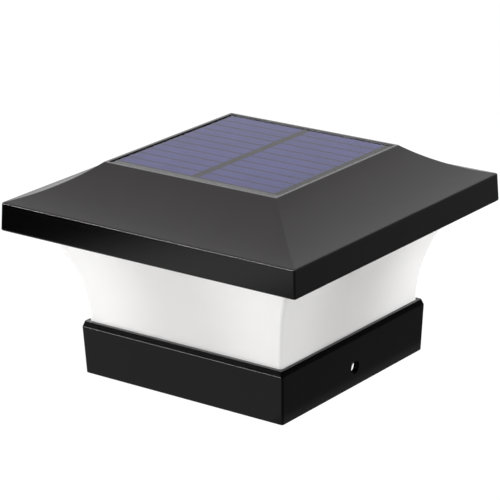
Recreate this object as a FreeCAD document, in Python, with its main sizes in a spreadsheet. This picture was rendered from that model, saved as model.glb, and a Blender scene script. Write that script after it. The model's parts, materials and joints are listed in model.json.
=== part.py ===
import FreeCAD, Part
import Sketcher
import math
import operator
import os
from types import SimpleNamespace

# Solar light for a square post: hipped roof with a solar panel, flared shade, post skirt.
# Millimetres. +Z is up, and the origin is the middle of the skirt's bottom face.

DRIVING = [
    # alias, number, what it measures
    ("post_width", 101.6, "square post that the skirt slips over"),
    ("post_slack", 1.0, "room left over across that post"),
    ("skirt_wall", 2.5, "skirt, wall at its bottom edge"),
    ("skirt_draft", 0.95, "skirt, how far each side leans out up to its shoulder"),
    ("skirt_height", 24.5, "skirt, bottom edge to top face"),
    ("shoulder_width", 0.9, "skirt, how far its bevelled shoulder slopes in"),
    ("shoulder_height", 2.6, "skirt, height of its bevelled shoulder"),
    ("skirt_corner_radius", 1.0, "skirt, round of the upright corners"),
    ("skirt_ledge", 1.65, "skirt, flat strip between its shoulder and the shade"),
    ("socket_depth", 20.9, "skirt, how far the post goes in"),
    ("skirt_opening", 80.0, "skirt, opening in its top flange"),
    ("post_hole_diameter", 6.0, "skirt, side holes for the post screws"),
    ("post_hole_height", 9.0, "skirt, side holes above the bottom edge"),
    ("shade_reveal", 44.2, "shade, height that shows"),
    ("shade_wall", 2.0, "shade, wall"),
    ("shade_corner_radius", 1.6, "shade, round of the corners"),
    ("foot_thickness", 2.0, "shade, flange of the foot"),
    ("foot_boss_height", 6.5, "shade, screw bosses above the foot flange"),
    ("collar_reach", 3.1, "shade, top flange beyond the collar"),
    ("collar_thickness", 1.5, "shade, top flange"),
    ("rim_width", 157.0, "roof, across the bottom of the rim"),
    ("rim_draft", 0.6, "roof, how far each side of the rim leans in"),
    ("eave_width", 11.4, "roof, overhang beyond the shade's collar"),
    ("rim_height", 12.8, "roof, height of the rim"),
    ("roof_rise", 15.8, "roof, rim to lip"),
    ("roof_arc_radius", 85.0, "roof, hollow of the slopes"),
    ("roof_wall", 2.4, "roof, wall"),
    ("roof_edge_radius", 0.8, "roof, round of the hips and the rim's edges"),
    ("lip_width", 92.0, "roof, across the lip round the panel"),
    ("lip_wall", 1.5, "roof, lip"),
    ("tray_wall", 2.0, "roof, floor of the panel tray"),
    ("lead_hole_diameter", 8.0, "roof, hole for the panel leads"),
    ("soffit_inset", 2.0, "soffit plate above the rim's edge"),
    ("soffit_thickness", 2.0, "soffit plate"),
    ("seal_thickness", 0.8, "shade seal"),
    ("plate_thickness", 2.0, "lamp plate"),
    ("plate_screw_inset", 8.6, "lamp plate screws from the shade's collar"),
    ("panel_sink", 0.5, "panel below the lip"),
    ("resin_thickness", 1.0, "panel, clear layer"),
    ("cell_thickness", 0.3, "panel, cells"),
    ("panel_board_thickness", 1.6, "panel, backing board"),
    ("adhesive_thickness", 0.8, "panel, foam frame"),
    ("adhesive_width", 8.0, "panel, width of the foam frame"),
    ("cell_margin", 2.4, "panel, board edge to cells at the sides, on average"),
    ("cell_end_margin", 2.7, "panel, board edge to cells at the ends, on average"),
    ("cell_shift_x", 1.8, "panel, middle of the cells left of the board's middle"),
    ("cell_shift_y", 2.4, "panel, middle of the cells behind the board's middle"),
    ("cell_gap", 0.4, "panel, between rows of cells"),
    ("column_gap", 4.0, "panel, between columns of cells"),
    ("board_length", 66.0, "lamp board, along X"),
    ("board_width", 42.0, "lamp board, along Y"),
    ("board_thickness", 1.6, "lamp board"),
    ("board_place", -6.0, "lamp board, middle along Y"),
    ("board_screw_inset", 3.5, "lamp board, screws from its edges"),
    ("led_length", 3.5, "light chips, along X"),
    ("led_width", 2.8, "light chips, along Y"),
    ("driver_length", 6.0, "driver chip, along X"),
    ("driver_width", 5.0, "driver chip, along Y"),
    ("part_length", 2.0, "chip resistors and capacitors"),
    ("part_width", 1.2, "chip resistors and capacitors"),
    ("inductor_diameter", 8.0, "inductor, flanges"),
    ("inductor_height", 5.0, "inductor"),
    ("capacitor_diameter", 5.0, "electrolytic capacitor"),
    ("capacitor_height", 7.0, "electrolytic capacitor"),
    ("switch_width", 12.0, "switch, square housing"),
    ("switch_height", 4.2, "switch, housing"),
    ("button_diameter", 10.0, "button, cap"),
    ("button_thickness", 2.4, "button, cap"),
    ("button_stem_diameter", 6.0, "button, stem"),
    ("button_travel", 1.5, "button, stroke"),
    ("battery_diameter", 14.0, "cell of the 14500 size"),
    ("battery_length", 48.0, "cell, without its nub"),
    ("battery_nub", 1.2, "cell, nub"),
    ("battery_place", 31.0, "cell, axis along Y"),
    ("battery_drop", 3.0, "cell, below the lamp plate"),
    ("holder_wall", 1.4, "battery holder, wall"),
    ("contact_thickness", 0.5, "battery contacts, sheet"),
    ("contact_bump", 0.6, "battery contacts, pressed bump"),
    ("tab_length", 2.6, "battery contacts, solder tab outside the holder"),
    ("door_wall", 1.6, "battery door, wall"),
    ("door_length", 58.0, "battery door, along X"),
    ("door_width", 20.0, "battery door, along Y"),
    ("finger_reach", 3.5, "battery door, finger tab"),
    ("hinge_pin_diameter", 1.5, "door hinge pin"),
    ("hinge_drop", 2.0, "door hinge axis below the lamp plate"),
    ("screw_diameter", 2.4, "self-cutting screws, core"),
    ("screw_head_diameter", 5.4, "self-cutting screws, head"),
    ("screw_head_height", 1.8, "self-cutting screws, head"),
    ("board_screw_diameter", 2.0, "lamp board screws, core"),
    ("boss_wall", 1.35, "screw bosses, wall"),
    ("boss_room", 1.1, "eave bosses from the rim's inner face"),
    ("blind_end", 1.0, "closed end of a screw hole"),
    ("lead_diameter", 1.3, "insulated leads"),
    ("lead_bend", 2.5, "insulated leads, bend radius"),
    ("wide_gap", 0.4, "easy fit between flat faces"),
    ("slide_gap", 0.3, "running fit of the button and the hinge"),
    ("pin_gap", 0.05, "close fit of pins, screws and leads"),
]
CELL_ROWS = 11
LEDS_PER_ROW = 6
OVERCUT = 1.0

doc = FreeCAD.newDocument("solar_post_light")
sheet = doc.addObject("Spreadsheet::Sheet", "Sizes")


class Size:
    """A length: its number and the sheet expression that it comes from."""

    def __init__(self, number, text):
        self.number = number
        self.text = text

    def __add__(self, other):
        return combined(self, "+", other)

    def __radd__(self, other):
        return combined(other, "+", self)

    def __sub__(self, other):
        return combined(self, "-", other)

    def __rsub__(self, other):
        return combined(other, "-", self)

    def __mul__(self, other):
        return combined(self, "*", other)

    def __rmul__(self, other):
        return combined(other, "*", self)

    def __truediv__(self, other):
        return combined(self, "/", other)

    def __neg__(self):
        return Size(-self.number, f"(-1 * {self.text})")

    def root(self):
        return Size(math.sqrt(self.number), f"sqrt({self.text})")


OPERATIONS = {"+": operator.add, "-": operator.sub, "*": operator.mul, "/": operator.truediv}


def sized(value):
    return value if isinstance(value, Size) else Size(float(value), f"({float(value)})")


def combined(first, sign, second):
    first, second = sized(first), sized(second)
    number = OPERATIONS[sign](first.number, second.number)
    return Size(number, f"({first.text} {sign} {second.text})")


def filled_sheet():
    lengths = {}
    for row, (alias, number, meaning) in enumerate(DRIVING, start=1):
        sheet.set(f"A{row}", meaning)
        sheet.set(f"B{row}", str(number))
        sheet.setAlias(f"B{row}", alias)
        lengths[alias] = Size(float(number), f"Sizes.{alias}")
    doc.recompute()
    return SimpleNamespace(**lengths)


def tie(thing, place, length):
    thing.setExpression(place, sized(length).text)


# Sketches


def new_body(label):
    body = doc.addObject("PartDesign::Body", label)
    body.Label = label
    return body


def sketch_on(body, plane, height=None):
    sketch = body.newObject("Sketcher::SketchObject", "Sketch")
    support = next(f for f in body.Origin.OriginFeatures if f.Role == plane)
    sketch.AttachmentSupport = [(support, "")]
    sketch.MapMode = "FlatFace"
    if height is not None:
        tie(sketch, "AttachmentOffset.Base.z", height)
    return sketch


def pinned(sketch, geometry, end, x, y):
    """Constraints that hold one point of a sketch, with the lengths that they follow."""
    rules = []
    for kind, axis, length in (("DistanceX", -2, sized(x)), ("DistanceY", -1, sized(y))):
        if abs(length.number) < 1e-9:
            rules.append((Sketcher.Constraint("PointOnObject", geometry, end, axis), None))
        else:
            rules.append((Sketcher.Constraint(kind, -1, 1, geometry, end, length.number), length))
    return rules


def hold(sketch, rules):
    first = sketch.ConstraintCount
    sketch.addConstraint([rule for rule, length in rules])
    for place, (rule, length) in enumerate(rules, start=first):
        if length is not None:
            tie(sketch, f"Constraints[{place}]", length)


def side_of(start, stop, bend):
    """A straight side, or an arc whose centre lies to the left (+1) or right (-1) of the way along."""
    a = FreeCAD.Vector(sized(start[0]).number, sized(start[1]).number, 0)
    b = FreeCAD.Vector(sized(stop[0]).number, sized(stop[1]).number, 0)
    if bend is None:
        return Part.LineSegment(a, b), 1, 2
    radius, hand = bend
    along = b - a
    across = FreeCAD.Vector(-along.y, along.x, 0).normalize()
    reach = math.sqrt(max(radius.number**2 - (along.Length / 2) ** 2, 0.0))
    centre = (a + b) / 2 + across * (hand * reach)
    first, last = (a, b) if hand > 0 else (b, a)
    angles = [math.atan2(p.y - centre.y, p.x - centre.x) for p in (first, last)]
    circle = Part.Circle(centre, FreeCAD.Vector(0, 0, 1), radius.number)
    arc = Part.ArcOfCircle(circle, *angles)
    return (arc, 1, 2) if hand > 0 else (arc, 2, 1)


def draw(sketch, corners, bends=None):
    """Closes a loop through the corners. bends gives the arc, if any, that leaves a corner."""
    bends = bends or {}
    count = len(corners)
    ends = []
    for i, corner in enumerate(corners):
        curve, start, stop = side_of(corner, corners[(i + 1) % count], bends.get(i))
        ends.append((sketch.addGeometry(curve, False), start, stop))
    rules = []
    for i, (geometry, start, stop) in enumerate(ends):
        before, _, before_stop = ends[i - 1]
        rules.append((Sketcher.Constraint("Coincident", before, before_stop, geometry, start), None))
        rules += pinned(sketch, geometry, start, *corners[i])
        if i in bends:
            radius = bends[i][0]
            rules.append((Sketcher.Constraint("Radius", geometry, radius.number), radius))
    hold(sketch, rules)


def draw_circle(sketch, x, y, radius):
    centre = FreeCAD.Vector(sized(x).number, sized(y).number, 0)
    circle = Part.Circle(centre, FreeCAD.Vector(0, 0, 1), radius.number)
    geometry = sketch.addGeometry(circle, False)
    rules = pinned(sketch, geometry, 3, x, y)
    rules.append((Sketcher.Constraint("Radius", geometry, radius.number), radius))
    hold(sketch, rules)


def rectangle(left, low, right, high):
    return [(left, low), (right, low), (right, high), (left, high)]


def square(half):
    return rectangle(-half, -half, half, half)


def four_corners(place):
    return [(place, place), (-place, place), (-place, -place), (place, -place)]


def mirrored(half, bends):
    """The whole outline from its right half, which runs from the bottom to the top."""
    whole = half + [(-x, y) for x, y in reversed(half)]
    last = len(whole) - 2
    return whole, {**bends, **{last - i: bend for i, bend in bends.items()}}


# Features


def pad(body, sketch, length, symmetric=False, down=False):
    feature = body.newObject("PartDesign::Pad", "Pad")
    feature.Profile = sketch
    feature.SideType = "Symmetric" if symmetric else "One side"
    feature.Reversed = down
    tie(feature, "Length", length)
    return feature


def pocket(body, sketch, length, symmetric=False, up=False):
    feature = body.newObject("PartDesign::Pocket", "Pocket")
    feature.Profile = sketch
    feature.SideType = "Symmetric" if symmetric else "One side"
    feature.Reversed = up
    tie(feature, "Length", length)
    return feature


def fillet(body, radius, chosen):
    doc.recompute()
    tip = body.Tip
    names = [f"Edge{i}" for i, edge in enumerate(tip.Shape.Edges, start=1) if chosen(edge)]
    feature = body.newObject("PartDesign::Fillet", "Fillet")
    feature.Base = (tip, names)
    tie(feature, "Radius", radius)


def on_mitre(edge):
    """True for an edge that runs up a corner of a square body."""
    ends = [edge.valueAt(edge.FirstParameter), edge.valueAt(edge.LastParameter)]
    diagonal = all(abs(abs(p.x) - abs(p.y)) < 0.01 for p in ends)
    return diagonal and abs(ends[0].z - ends[1].z) > 0.01


def along_level(edge, level):
    """True for an edge that lies at one level."""
    return all(abs(vertex.Z - level.number) < 0.01 for vertex in edge.Vertexes)


def mitred_body(label, half, bends, reach):
    """A square body with one outline on all four sides: a bar along Y, then trimmed along X."""
    body = new_body(label)
    outline, bends = mirrored(half, bends)
    bar = sketch_on(body, "XZ_Plane")
    draw(bar, outline, bends)
    pad(body, bar, 2 * reach, symmetric=True)
    trim = sketch_on(body, "YZ_Plane")
    draw(trim, outline, bends)
    low, high = half[0][1], half[-1][1]
    draw(trim, rectangle(-2 * reach, low - 10 * OVERCUT, 2 * reach, high + 10 * OVERCUT))
    pocket(body, trim, 4 * reach, symmetric=True)
    return body


def plate_body(label, bottom, thickness, outline, holes=(), circles=()):
    """A flat piece with its outline and openings in one sketch."""
    body = new_body(label)
    sketch = sketch_on(body, "XY_Plane", bottom)
    draw(sketch, outline)
    for hole in holes:
        draw(sketch, hole)
    for circle in circles:
        draw_circle(sketch, *circle)
    pad(body, sketch, thickness)
    return body


def round_pads(body, bottom, height, circles):
    sketch = sketch_on(body, "XY_Plane", bottom)
    for circle in circles:
        draw_circle(sketch, *circle)
    return pad(body, sketch, height)


def round_pockets(body, bottom, depth, circles):
    """Round holes that rise from the given level."""
    sketch = sketch_on(body, "XY_Plane", bottom)
    for circle in circles:
        draw_circle(sketch, *circle)
    return pocket(body, sketch, depth, up=True)


def cut(label, base, tool):
    result = doc.addObject("Part::Cut", label)
    result.Label = label
    result.Base = base
    result.Tool = tool
    return result


def screws(label, places, seat, core_radius, head_radius, head_height, reach):
    """Screws that point up: heads under the seat, cores above it, with a crossed recess."""
    body = new_body(label)
    round_pads(body, seat - head_height, head_height, [(x, y, head_radius) for x, y in places])
    fillet(body, head_height / 3, lambda edge: along_level(edge, seat - head_height))
    round_pads(body, seat, reach, [(x, y, core_radius) for x, y in places])
    long_half, short_half = head_radius * 0.55, head_radius * 0.12
    for wide, tall in ((long_half, short_half), (short_half, long_half)):
        sketch = sketch_on(body, "XY_Plane", seat - head_height)
        for x, y in places:
            draw(sketch, rectangle(x - wide, y - tall, x + wide, y + tall))
        pocket(body, sketch, head_height * 0.6, up=True)
    return body


def lead(label, points, radius, bend):
    """A wire of straight runs joined by arcs."""
    spots = [FreeCAD.Vector(*(sized(v).number for v in point)) for point in points]
    edges = []
    here = spots[0]
    for before, corner, after in zip(spots, spots[1:], spots[2:]):
        come = (corner - before).normalize()
        leave = (after - corner).normalize()
        half_turn = come.getAngle(leave) / 2
        setback = bend * math.tan(half_turn)
        start = corner - come * setback
        stop = corner + leave * setback
        inward = (leave - come).normalize()
        middle = corner + inward * (bend / math.cos(half_turn) - bend)
        edges.append(Part.makeLine(here, start))
        edges.append(Part.Arc(start, middle, stop).toShape())
        here = stop
    edges.append(Part.makeLine(here, spots[-1]))
    section = Part.Wire(Part.makeCircle(radius.number, spots[0], spots[1] - spots[0]))
    wire = doc.addObject("Part::Feature", label)
    wire.Label = label
    wire.Shape = Part.Wire(edges).makePipeShell([section], True, False)
    return wire


size = filled_sheet()

# Levels, from the skirt's bottom edge up to the lip

rim_bottom = size.skirt_height + size.shade_reveal
soffit_bottom = rim_bottom + size.soffit_inset
soffit_top = soffit_bottom + size.soffit_thickness
collar_top = soffit_top + size.collar_thickness
plate_bottom = collar_top + size.seal_thickness
plate_top = plate_bottom + size.plate_thickness
rim_top = rim_bottom + size.rim_height
lip_top = rim_top + size.roof_rise
panel_top = lip_top - size.panel_sink
resin_bottom = panel_top - size.resin_thickness
panel_bottom = resin_bottom - size.panel_board_thickness
tray_top = panel_bottom - size.adhesive_thickness
tray_bottom = tray_top - size.tray_wall
board_bottom = plate_bottom - size.board_thickness
switch_bottom = board_bottom - size.switch_height
reach = size.rim_width

core_radius = size.screw_diameter / 2
pilot_radius = core_radius + size.pin_gap
head_radius = size.screw_head_diameter / 2
clear_radius = core_radius + size.wide_gap

# Outlines of the skirt and of the shade, which leaves its foot upright and flares on an arc

socket_half = (size.post_width + size.post_slack) / 2
half_skirt = socket_half + size.skirt_wall
half_shoulder = half_skirt + size.skirt_draft
half_foot = half_shoulder - size.shoulder_width - size.skirt_ledge
half_collar = size.rim_width / 2 - size.eave_width
flare = half_collar - half_foot
flare_radius = (flare * flare + size.shade_reveal * size.shade_reveal) / (2 * flare)
flare_x = half_foot + flare_radius
inner_flare_radius = flare_radius + size.shade_wall
foot_top = size.skirt_height + size.foot_thickness


def shade_inside(z):
    """Distance of the shade's inner face from the middle at a level."""
    rise = z - size.skirt_height
    return flare_x - (inner_flare_radius * inner_flare_radius - rise * rise).root()


collar_inside = shade_inside(rim_bottom)

# Roof: the slopes hollow towards an axis above and outside the rim

half_lip = size.lip_width / 2
half_rim = size.rim_width / 2
half_rim_top = half_rim - size.rim_draft
slope_run = half_rim_top - half_lip
chord = (slope_run * slope_run + size.roof_rise * size.roof_rise).root()
sagitta_arm = (size.roof_arc_radius * size.roof_arc_radius - chord * chord / 4).root()
arc_x = (half_lip + half_rim_top) / 2 + sagitta_arm * size.roof_rise / chord
arc_z = (lip_top + rim_top) / 2 + sagitta_arm * slope_run / chord
inner_arc_radius = size.roof_arc_radius + size.roof_wall
cavity_half = half_rim - size.roof_wall
recess_half = half_lip - size.lip_wall


def slope_height(x):
    """Level of the roof's inner face at a distance from the middle."""
    return arc_z - (inner_arc_radius * inner_arc_radius - (arc_x - x) * (arc_x - x)).root()


arc_drop = arc_z - tray_bottom
tray_half = arc_x - (inner_arc_radius * inner_arc_radius - arc_drop * arc_drop).root()
soffit_boss_radius = pilot_radius + size.boss_wall
soffit_screw_place = cavity_half - soffit_boss_radius - size.boss_room
plate_boss_radius = pilot_radius + 1.6 * size.boss_wall
plate_screw_place = collar_inside - size.plate_screw_inset

roof_outer = mitred_body(
    "roof_outer",
    [(half_rim, rim_bottom), (half_rim_top, rim_top), (half_lip, lip_top)],
    {1: (size.roof_arc_radius, -1)},
    reach,
)
fillet(roof_outer, size.roof_edge_radius, lambda edge: on_mitre(edge) or along_level(edge, rim_top))
recess = sketch_on(roof_outer, "XY_Plane", lip_top)
draw(recess, square(recess_half))
pocket(roof_outer, recess, lip_top - tray_top)
lead_hole = sketch_on(roof_outer, "XY_Plane", tray_top)
draw_circle(lead_hole, 0, size.board_place, size.lead_hole_diameter / 2)
pocket(roof_outer, lead_hole, size.tray_wall + OVERCUT)
round_pockets(
    roof_outer,
    soffit_top,
    slope_height(soffit_screw_place) - soffit_top - size.blind_end,
    [(x, y, pilot_radius) for x, y in four_corners(soffit_screw_place)],
)
round_pockets(
    roof_outer,
    plate_top,
    slope_height(plate_screw_place) - plate_top - size.blind_end,
    [(x, y, pilot_radius) for x, y in four_corners(plate_screw_place)],
)
roof_cavity = mitred_body(
    "roof_cavity",
    [
        (cavity_half, rim_bottom - OVERCUT),
        (cavity_half, slope_height(cavity_half)),
        (tray_half, tray_bottom),
    ],
    {1: (inner_arc_radius, -1)},
    reach,
)
round_pockets(
    roof_cavity,
    soffit_top,
    lip_top - soffit_top,
    [(x, y, soffit_boss_radius) for x, y in four_corners(soffit_screw_place)],
)
round_pockets(
    roof_cavity,
    plate_top,
    lip_top - plate_top,
    [(x, y, plate_boss_radius) for x, y in four_corners(plate_screw_place)],
)
roof_shell = cut("roof_shell", roof_outer, roof_cavity)

# Solar panel: board on a foam frame, cells under a clear layer

panel_half = recess_half - size.slide_gap
cells_half_x = panel_half - size.cell_margin
cells_half_y = panel_half - size.cell_end_margin
cells_left = -cells_half_x - size.cell_shift_x
cells_right = cells_half_x - size.cell_shift_x
cells_front = size.cell_shift_y - cells_half_y
cells_back = cells_half_y + size.cell_shift_y
adhesive_half = panel_half - size.slide_gap
panel_adhesive = plate_body(
    "panel_adhesive",
    tray_top,
    size.adhesive_thickness,
    square(adhesive_half),
    [square(adhesive_half - size.adhesive_width)],
)
panel_board = plate_body("panel_board", panel_bottom, size.panel_board_thickness, square(panel_half))
panel_resin = plate_body("panel_resin", resin_bottom, size.resin_thickness, square(panel_half))
bed = sketch_on(panel_resin, "XY_Plane", resin_bottom)
draw(bed, rectangle(cells_left, cells_front, cells_right, cells_back))
pocket(panel_resin, bed, size.cell_thickness, up=True)

cell_pitch = (2 * cells_half_y + size.cell_gap) / CELL_ROWS
columns_left = -(size.column_gap / 2) - size.cell_shift_x
columns_right = size.column_gap / 2 - size.cell_shift_x
solar_cells = new_body("solar_cells")
strip = sketch_on(solar_cells, "XY_Plane", resin_bottom)
for row in range(CELL_ROWS):
    low = row * cell_pitch + cells_front
    high = low + cell_pitch - size.cell_gap
    draw(strip, rectangle(cells_left, low, columns_left, high))
    draw(strip, rectangle(columns_right, low, cells_right, high))
pad(solar_cells, strip, size.cell_thickness)

# Shade: foot flange with bosses, flared walls, a collar and a flange

foot_opening = size.skirt_opening / 2 + size.wide_gap
foot_screw_place = (size.skirt_opening / 2 + half_foot - size.shade_wall) / 2
foot_boss_radius = pilot_radius + 1.4 * size.boss_wall
collar_edge = half_collar + size.collar_reach

shade_outer = mitred_body(
    "shade_outer",
    [
        (half_foot, size.skirt_height),
        (half_collar, rim_bottom),
        (half_collar, soffit_top),
        (collar_edge, soffit_top),
        (collar_edge, collar_top),
    ],
    {0: (flare_radius, -1)},
    reach,
)
collar_middle = collar_top - size.collar_thickness / 2
fillet(
    shade_outer,
    size.shade_corner_radius,
    lambda edge: on_mitre(edge) and edge.BoundBox.ZMax < collar_middle.number,
)
mouth = sketch_on(shade_outer, "XY_Plane", size.skirt_height - OVERCUT)
draw(mouth, square(foot_opening))
pocket(shade_outer, mouth, size.foot_thickness + 2 * OVERCUT, up=True)
round_pockets(
    shade_outer,
    size.skirt_height,
    size.foot_thickness + size.foot_boss_height,
    [(x, y, pilot_radius) for x, y in four_corners(foot_screw_place)],
)
shade_cavity = mitred_body(
    "shade_cavity",
    [
        (shade_inside(foot_top), foot_top),
        (collar_inside, rim_bottom),
        (collar_inside, collar_top + OVERCUT),
    ],
    {0: (inner_flare_radius, -1)},
    reach,
)
round_pockets(
    shade_cavity,
    foot_top,
    size.foot_boss_height,
    [(x, y, foot_boss_radius) for x, y in four_corners(foot_screw_place)],
)
shade = cut("shade", shade_outer, shade_cavity)

# Soffit plate, shade seal and their screws

soffit_plate = plate_body(
    "soffit_plate",
    soffit_bottom,
    size.soffit_thickness,
    square(cavity_half - size.wide_gap),
    [square(half_collar + size.slide_gap)],
    [(x, y, clear_radius) for x, y in four_corners(soffit_screw_place)],
)
soffit_screws = screws(
    "soffit_screws",
    four_corners(soffit_screw_place),
    soffit_bottom,
    core_radius,
    head_radius,
    size.screw_head_height,
    slope_height(soffit_screw_place) - soffit_bottom - 2 * size.blind_end,
)
shade_seal = plate_body(
    "shade_seal",
    collar_top,
    size.seal_thickness,
    square(collar_edge - size.wide_gap),
    [square(collar_inside + size.shade_wall)],
)

# Lamp plate: windows for the board's parts and the cell, board bosses, hinge ears

board_screw_radius = size.board_screw_diameter / 2
board_pilot = board_screw_radius + size.pin_gap
board_screw_x = size.board_length / 2 - size.board_screw_inset
board_screw_y = size.board_width / 2 - size.board_screw_inset
board_screw_places = [
    (x, size.board_place + y)
    for x in (board_screw_x, -board_screw_x)
    for y in (board_screw_y, -board_screw_y)
]
window_half_x = size.board_length * 0.36
window_half_y = size.board_width * 0.38
window = rectangle(
    -window_half_x, size.board_place - window_half_y, window_half_x, size.board_place + window_half_y
)
holder_half_x = (size.battery_length + size.battery_nub) / 2 + size.contact_bump + size.contact_thickness
holder_half_y = size.battery_diameter / 2 + size.wide_gap
battery_window = rectangle(
    -holder_half_x, size.battery_place - holder_half_y, holder_half_x, size.battery_place + holder_half_y
)
lamp_plate = plate_body(
    "lamp_plate",
    plate_bottom,
    size.plate_thickness,
    square(collar_edge),
    [window, battery_window],
    [(x, y, clear_radius) for x, y in four_corners(plate_screw_place)],
)
fillet(lamp_plate, size.plate_thickness, on_mitre)
board_boss_height = size.plate_thickness * 2
board_boss_radius = board_pilot + size.boss_wall
round_pads(
    lamp_plate,
    plate_top,
    board_boss_height,
    [(x, y, board_boss_radius) for x, y in board_screw_places],
)
round_pockets(
    lamp_plate,
    plate_bottom,
    size.plate_thickness + board_boss_height,
    [(x, y, board_pilot) for x, y in board_screw_places],
)
pin_radius = size.hinge_pin_diameter / 2
pin_bore = pin_radius + size.pin_gap
ear_radius = pin_bore * 2.5
hinge_z = plate_bottom - size.hinge_drop
hinge_y = size.battery_place + size.door_width / 2 + ear_radius + size.wide_gap
knuckle_half = size.door_length * 0.31
ear_thickness = ear_radius * 1.5
ear_inside = knuckle_half + size.slide_gap
for start in (ear_inside, -ear_inside - ear_thickness):
    ear = sketch_on(lamp_plate, "YZ_Plane", start)
    draw(
        ear,
        [
            (hinge_y - ear_radius, plate_bottom),
            (hinge_y - ear_radius, hinge_z),
            (hinge_y, hinge_z - ear_radius),
            (hinge_y + ear_radius, hinge_z),
            (hinge_y + ear_radius, plate_bottom),
        ],
        {1: (ear_radius, 1), 2: (ear_radius, 1)},
    )
    draw_circle(ear, hinge_y, hinge_z, pin_bore)
    pad(lamp_plate, ear, ear_thickness)
lamp_plate_screws = screws(
    "lamp_plate_screws",
    four_corners(plate_screw_place),
    plate_bottom,
    core_radius,
    head_radius,
    size.screw_head_height,
    slope_height(plate_screw_place) - plate_bottom - 2 * size.blind_end,
)

# Lamp board with its parts: lights below, driver above, in the plate's window

board_low = size.board_place - size.board_width / 2
board_high = size.board_place + size.board_width / 2
led_board = plate_body(
    "led_board",
    board_bottom,
    size.board_thickness,
    rectangle(-(size.board_length / 2), board_low, size.board_length / 2, board_high),
    [],
    [(x, y, board_screw_radius + size.slide_gap) for x, y in board_screw_places],
)
board_screws = screws(
    "board_screws",
    board_screw_places,
    board_bottom,
    board_screw_radius,
    size.board_screw_diameter * 0.95,
    size.board_screw_diameter * 0.65,
    size.board_thickness + size.plate_thickness + board_boss_height - size.blind_end / 2,
)


def blocks(label, bottom, height, boxes):
    """Separate blocks of one height, given by middle and half sizes."""
    body = new_body(label)
    sketch = sketch_on(body, "XY_Plane", bottom)
    for x, y, half_x, half_y in boxes:
        draw(sketch, rectangle(x - half_x, y - half_y, x + half_x, y + half_y))
    pad(body, sketch, height)
    return body


led_height = size.board_thickness / 2
led_step = size.board_length * 0.76 / (LEDS_PER_ROW - 1)
led_row = size.board_width * 0.32
led_boxes = [
    (led_step * (i - (LEDS_PER_ROW - 1) / 2), size.board_place + y, size.led_length / 2, size.led_width / 2)
    for y in (led_row, -led_row)
    for i in range(LEDS_PER_ROW)
]
led_chips = blocks("led_chips", board_bottom - led_height, led_height, led_boxes)
chip_x = window_half_x / 2
chip_y = window_half_y / 3
chip_low = size.board_place - chip_y
chip_high = size.board_place + chip_y
driver_box = (-chip_x, chip_low, size.driver_length / 2, size.driver_width / 2)
driver_chip = blocks("driver_chip", plate_bottom, size.board_thickness, [driver_box])
part_long = size.part_length / 2
part_short = size.part_width / 2
beside = size.driver_length * 1.1
small_parts = blocks(
    "small_parts",
    plate_bottom,
    led_height,
    [
        (beside - chip_x, chip_low - size.part_length, part_long, part_short),
        (beside - chip_x, chip_low + part_long, part_long, part_short),
        (-chip_x - beside * 0.85, chip_low, part_short, part_long),
        (-chip_x, chip_high, part_long, part_short),
        (beside / 2 - chip_x, chip_high, part_long, part_short),
        (chip_x, chip_high + chip_y, part_long * 1.6, part_short * 1.5),
    ],
)
flange_height = size.inductor_height / 5
flange_radius = size.inductor_diameter / 2
inductor = new_body("inductor")
inductor_flange = [(chip_x, chip_low, flange_radius)]
inductor_winding = [(chip_x, chip_low, flange_radius * 0.8)]
round_pads(inductor, plate_bottom, flange_height, inductor_flange)
round_pads(inductor, plate_bottom + flange_height, 3 * flange_height, inductor_winding)
round_pads(inductor, plate_bottom + 4 * flange_height, flange_height, inductor_flange)
can_top = plate_bottom + size.capacitor_height
capacitor = new_body("capacitor")
can_radius = size.capacitor_diameter / 2
round_pads(capacitor, plate_bottom, size.capacitor_height, [(chip_x, chip_high, can_radius)])
fillet(capacitor, can_radius / 4, lambda edge: along_level(edge, can_top))

# Push switch: housing under the board, button that rises into it

stem_radius = size.button_stem_diameter / 2
stem_inside = size.switch_height * 0.4
bore_depth = stem_inside + size.button_travel + size.slide_gap
button_gap = size.button_travel + size.slide_gap
cap_top = switch_bottom - button_gap
half_switch = size.switch_width / 2
switch_body = blocks(
    "switch_body",
    switch_bottom,
    size.switch_height,
    [(sized(0), size.board_place, half_switch, half_switch)],
)
round_pockets(switch_body, switch_bottom, bore_depth, [(0, size.board_place, stem_radius + size.slide_gap)])
power_button = new_body("power_button")
button_radius = size.button_diameter / 2
cap_bottom = cap_top - size.button_thickness
round_pads(power_button, cap_bottom, size.button_thickness, [(0, size.board_place, button_radius)])
fillet(power_button, size.button_thickness / 3, lambda edge: along_level(edge, cap_bottom))
round_pads(power_button, cap_top, button_gap + stem_inside, [(0, size.board_place, stem_radius)])

# Battery: cell in a holder, leaf contacts at its ends

cell_radius = size.battery_diameter / 2
cell_z = plate_bottom - size.battery_drop + cell_radius
cell_end = (size.battery_length + size.battery_nub) / 2
battery_cell = new_body("battery_cell")
can = sketch_on(battery_cell, "YZ_Plane", -cell_end)
draw_circle(can, size.battery_place, cell_z, cell_radius)
pad(battery_cell, can, size.battery_length)
nub = sketch_on(battery_cell, "YZ_Plane", size.battery_length - cell_end)
draw_circle(nub, size.battery_place, cell_z, cell_radius * 0.39)
pad(battery_cell, nub, size.battery_nub)

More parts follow.
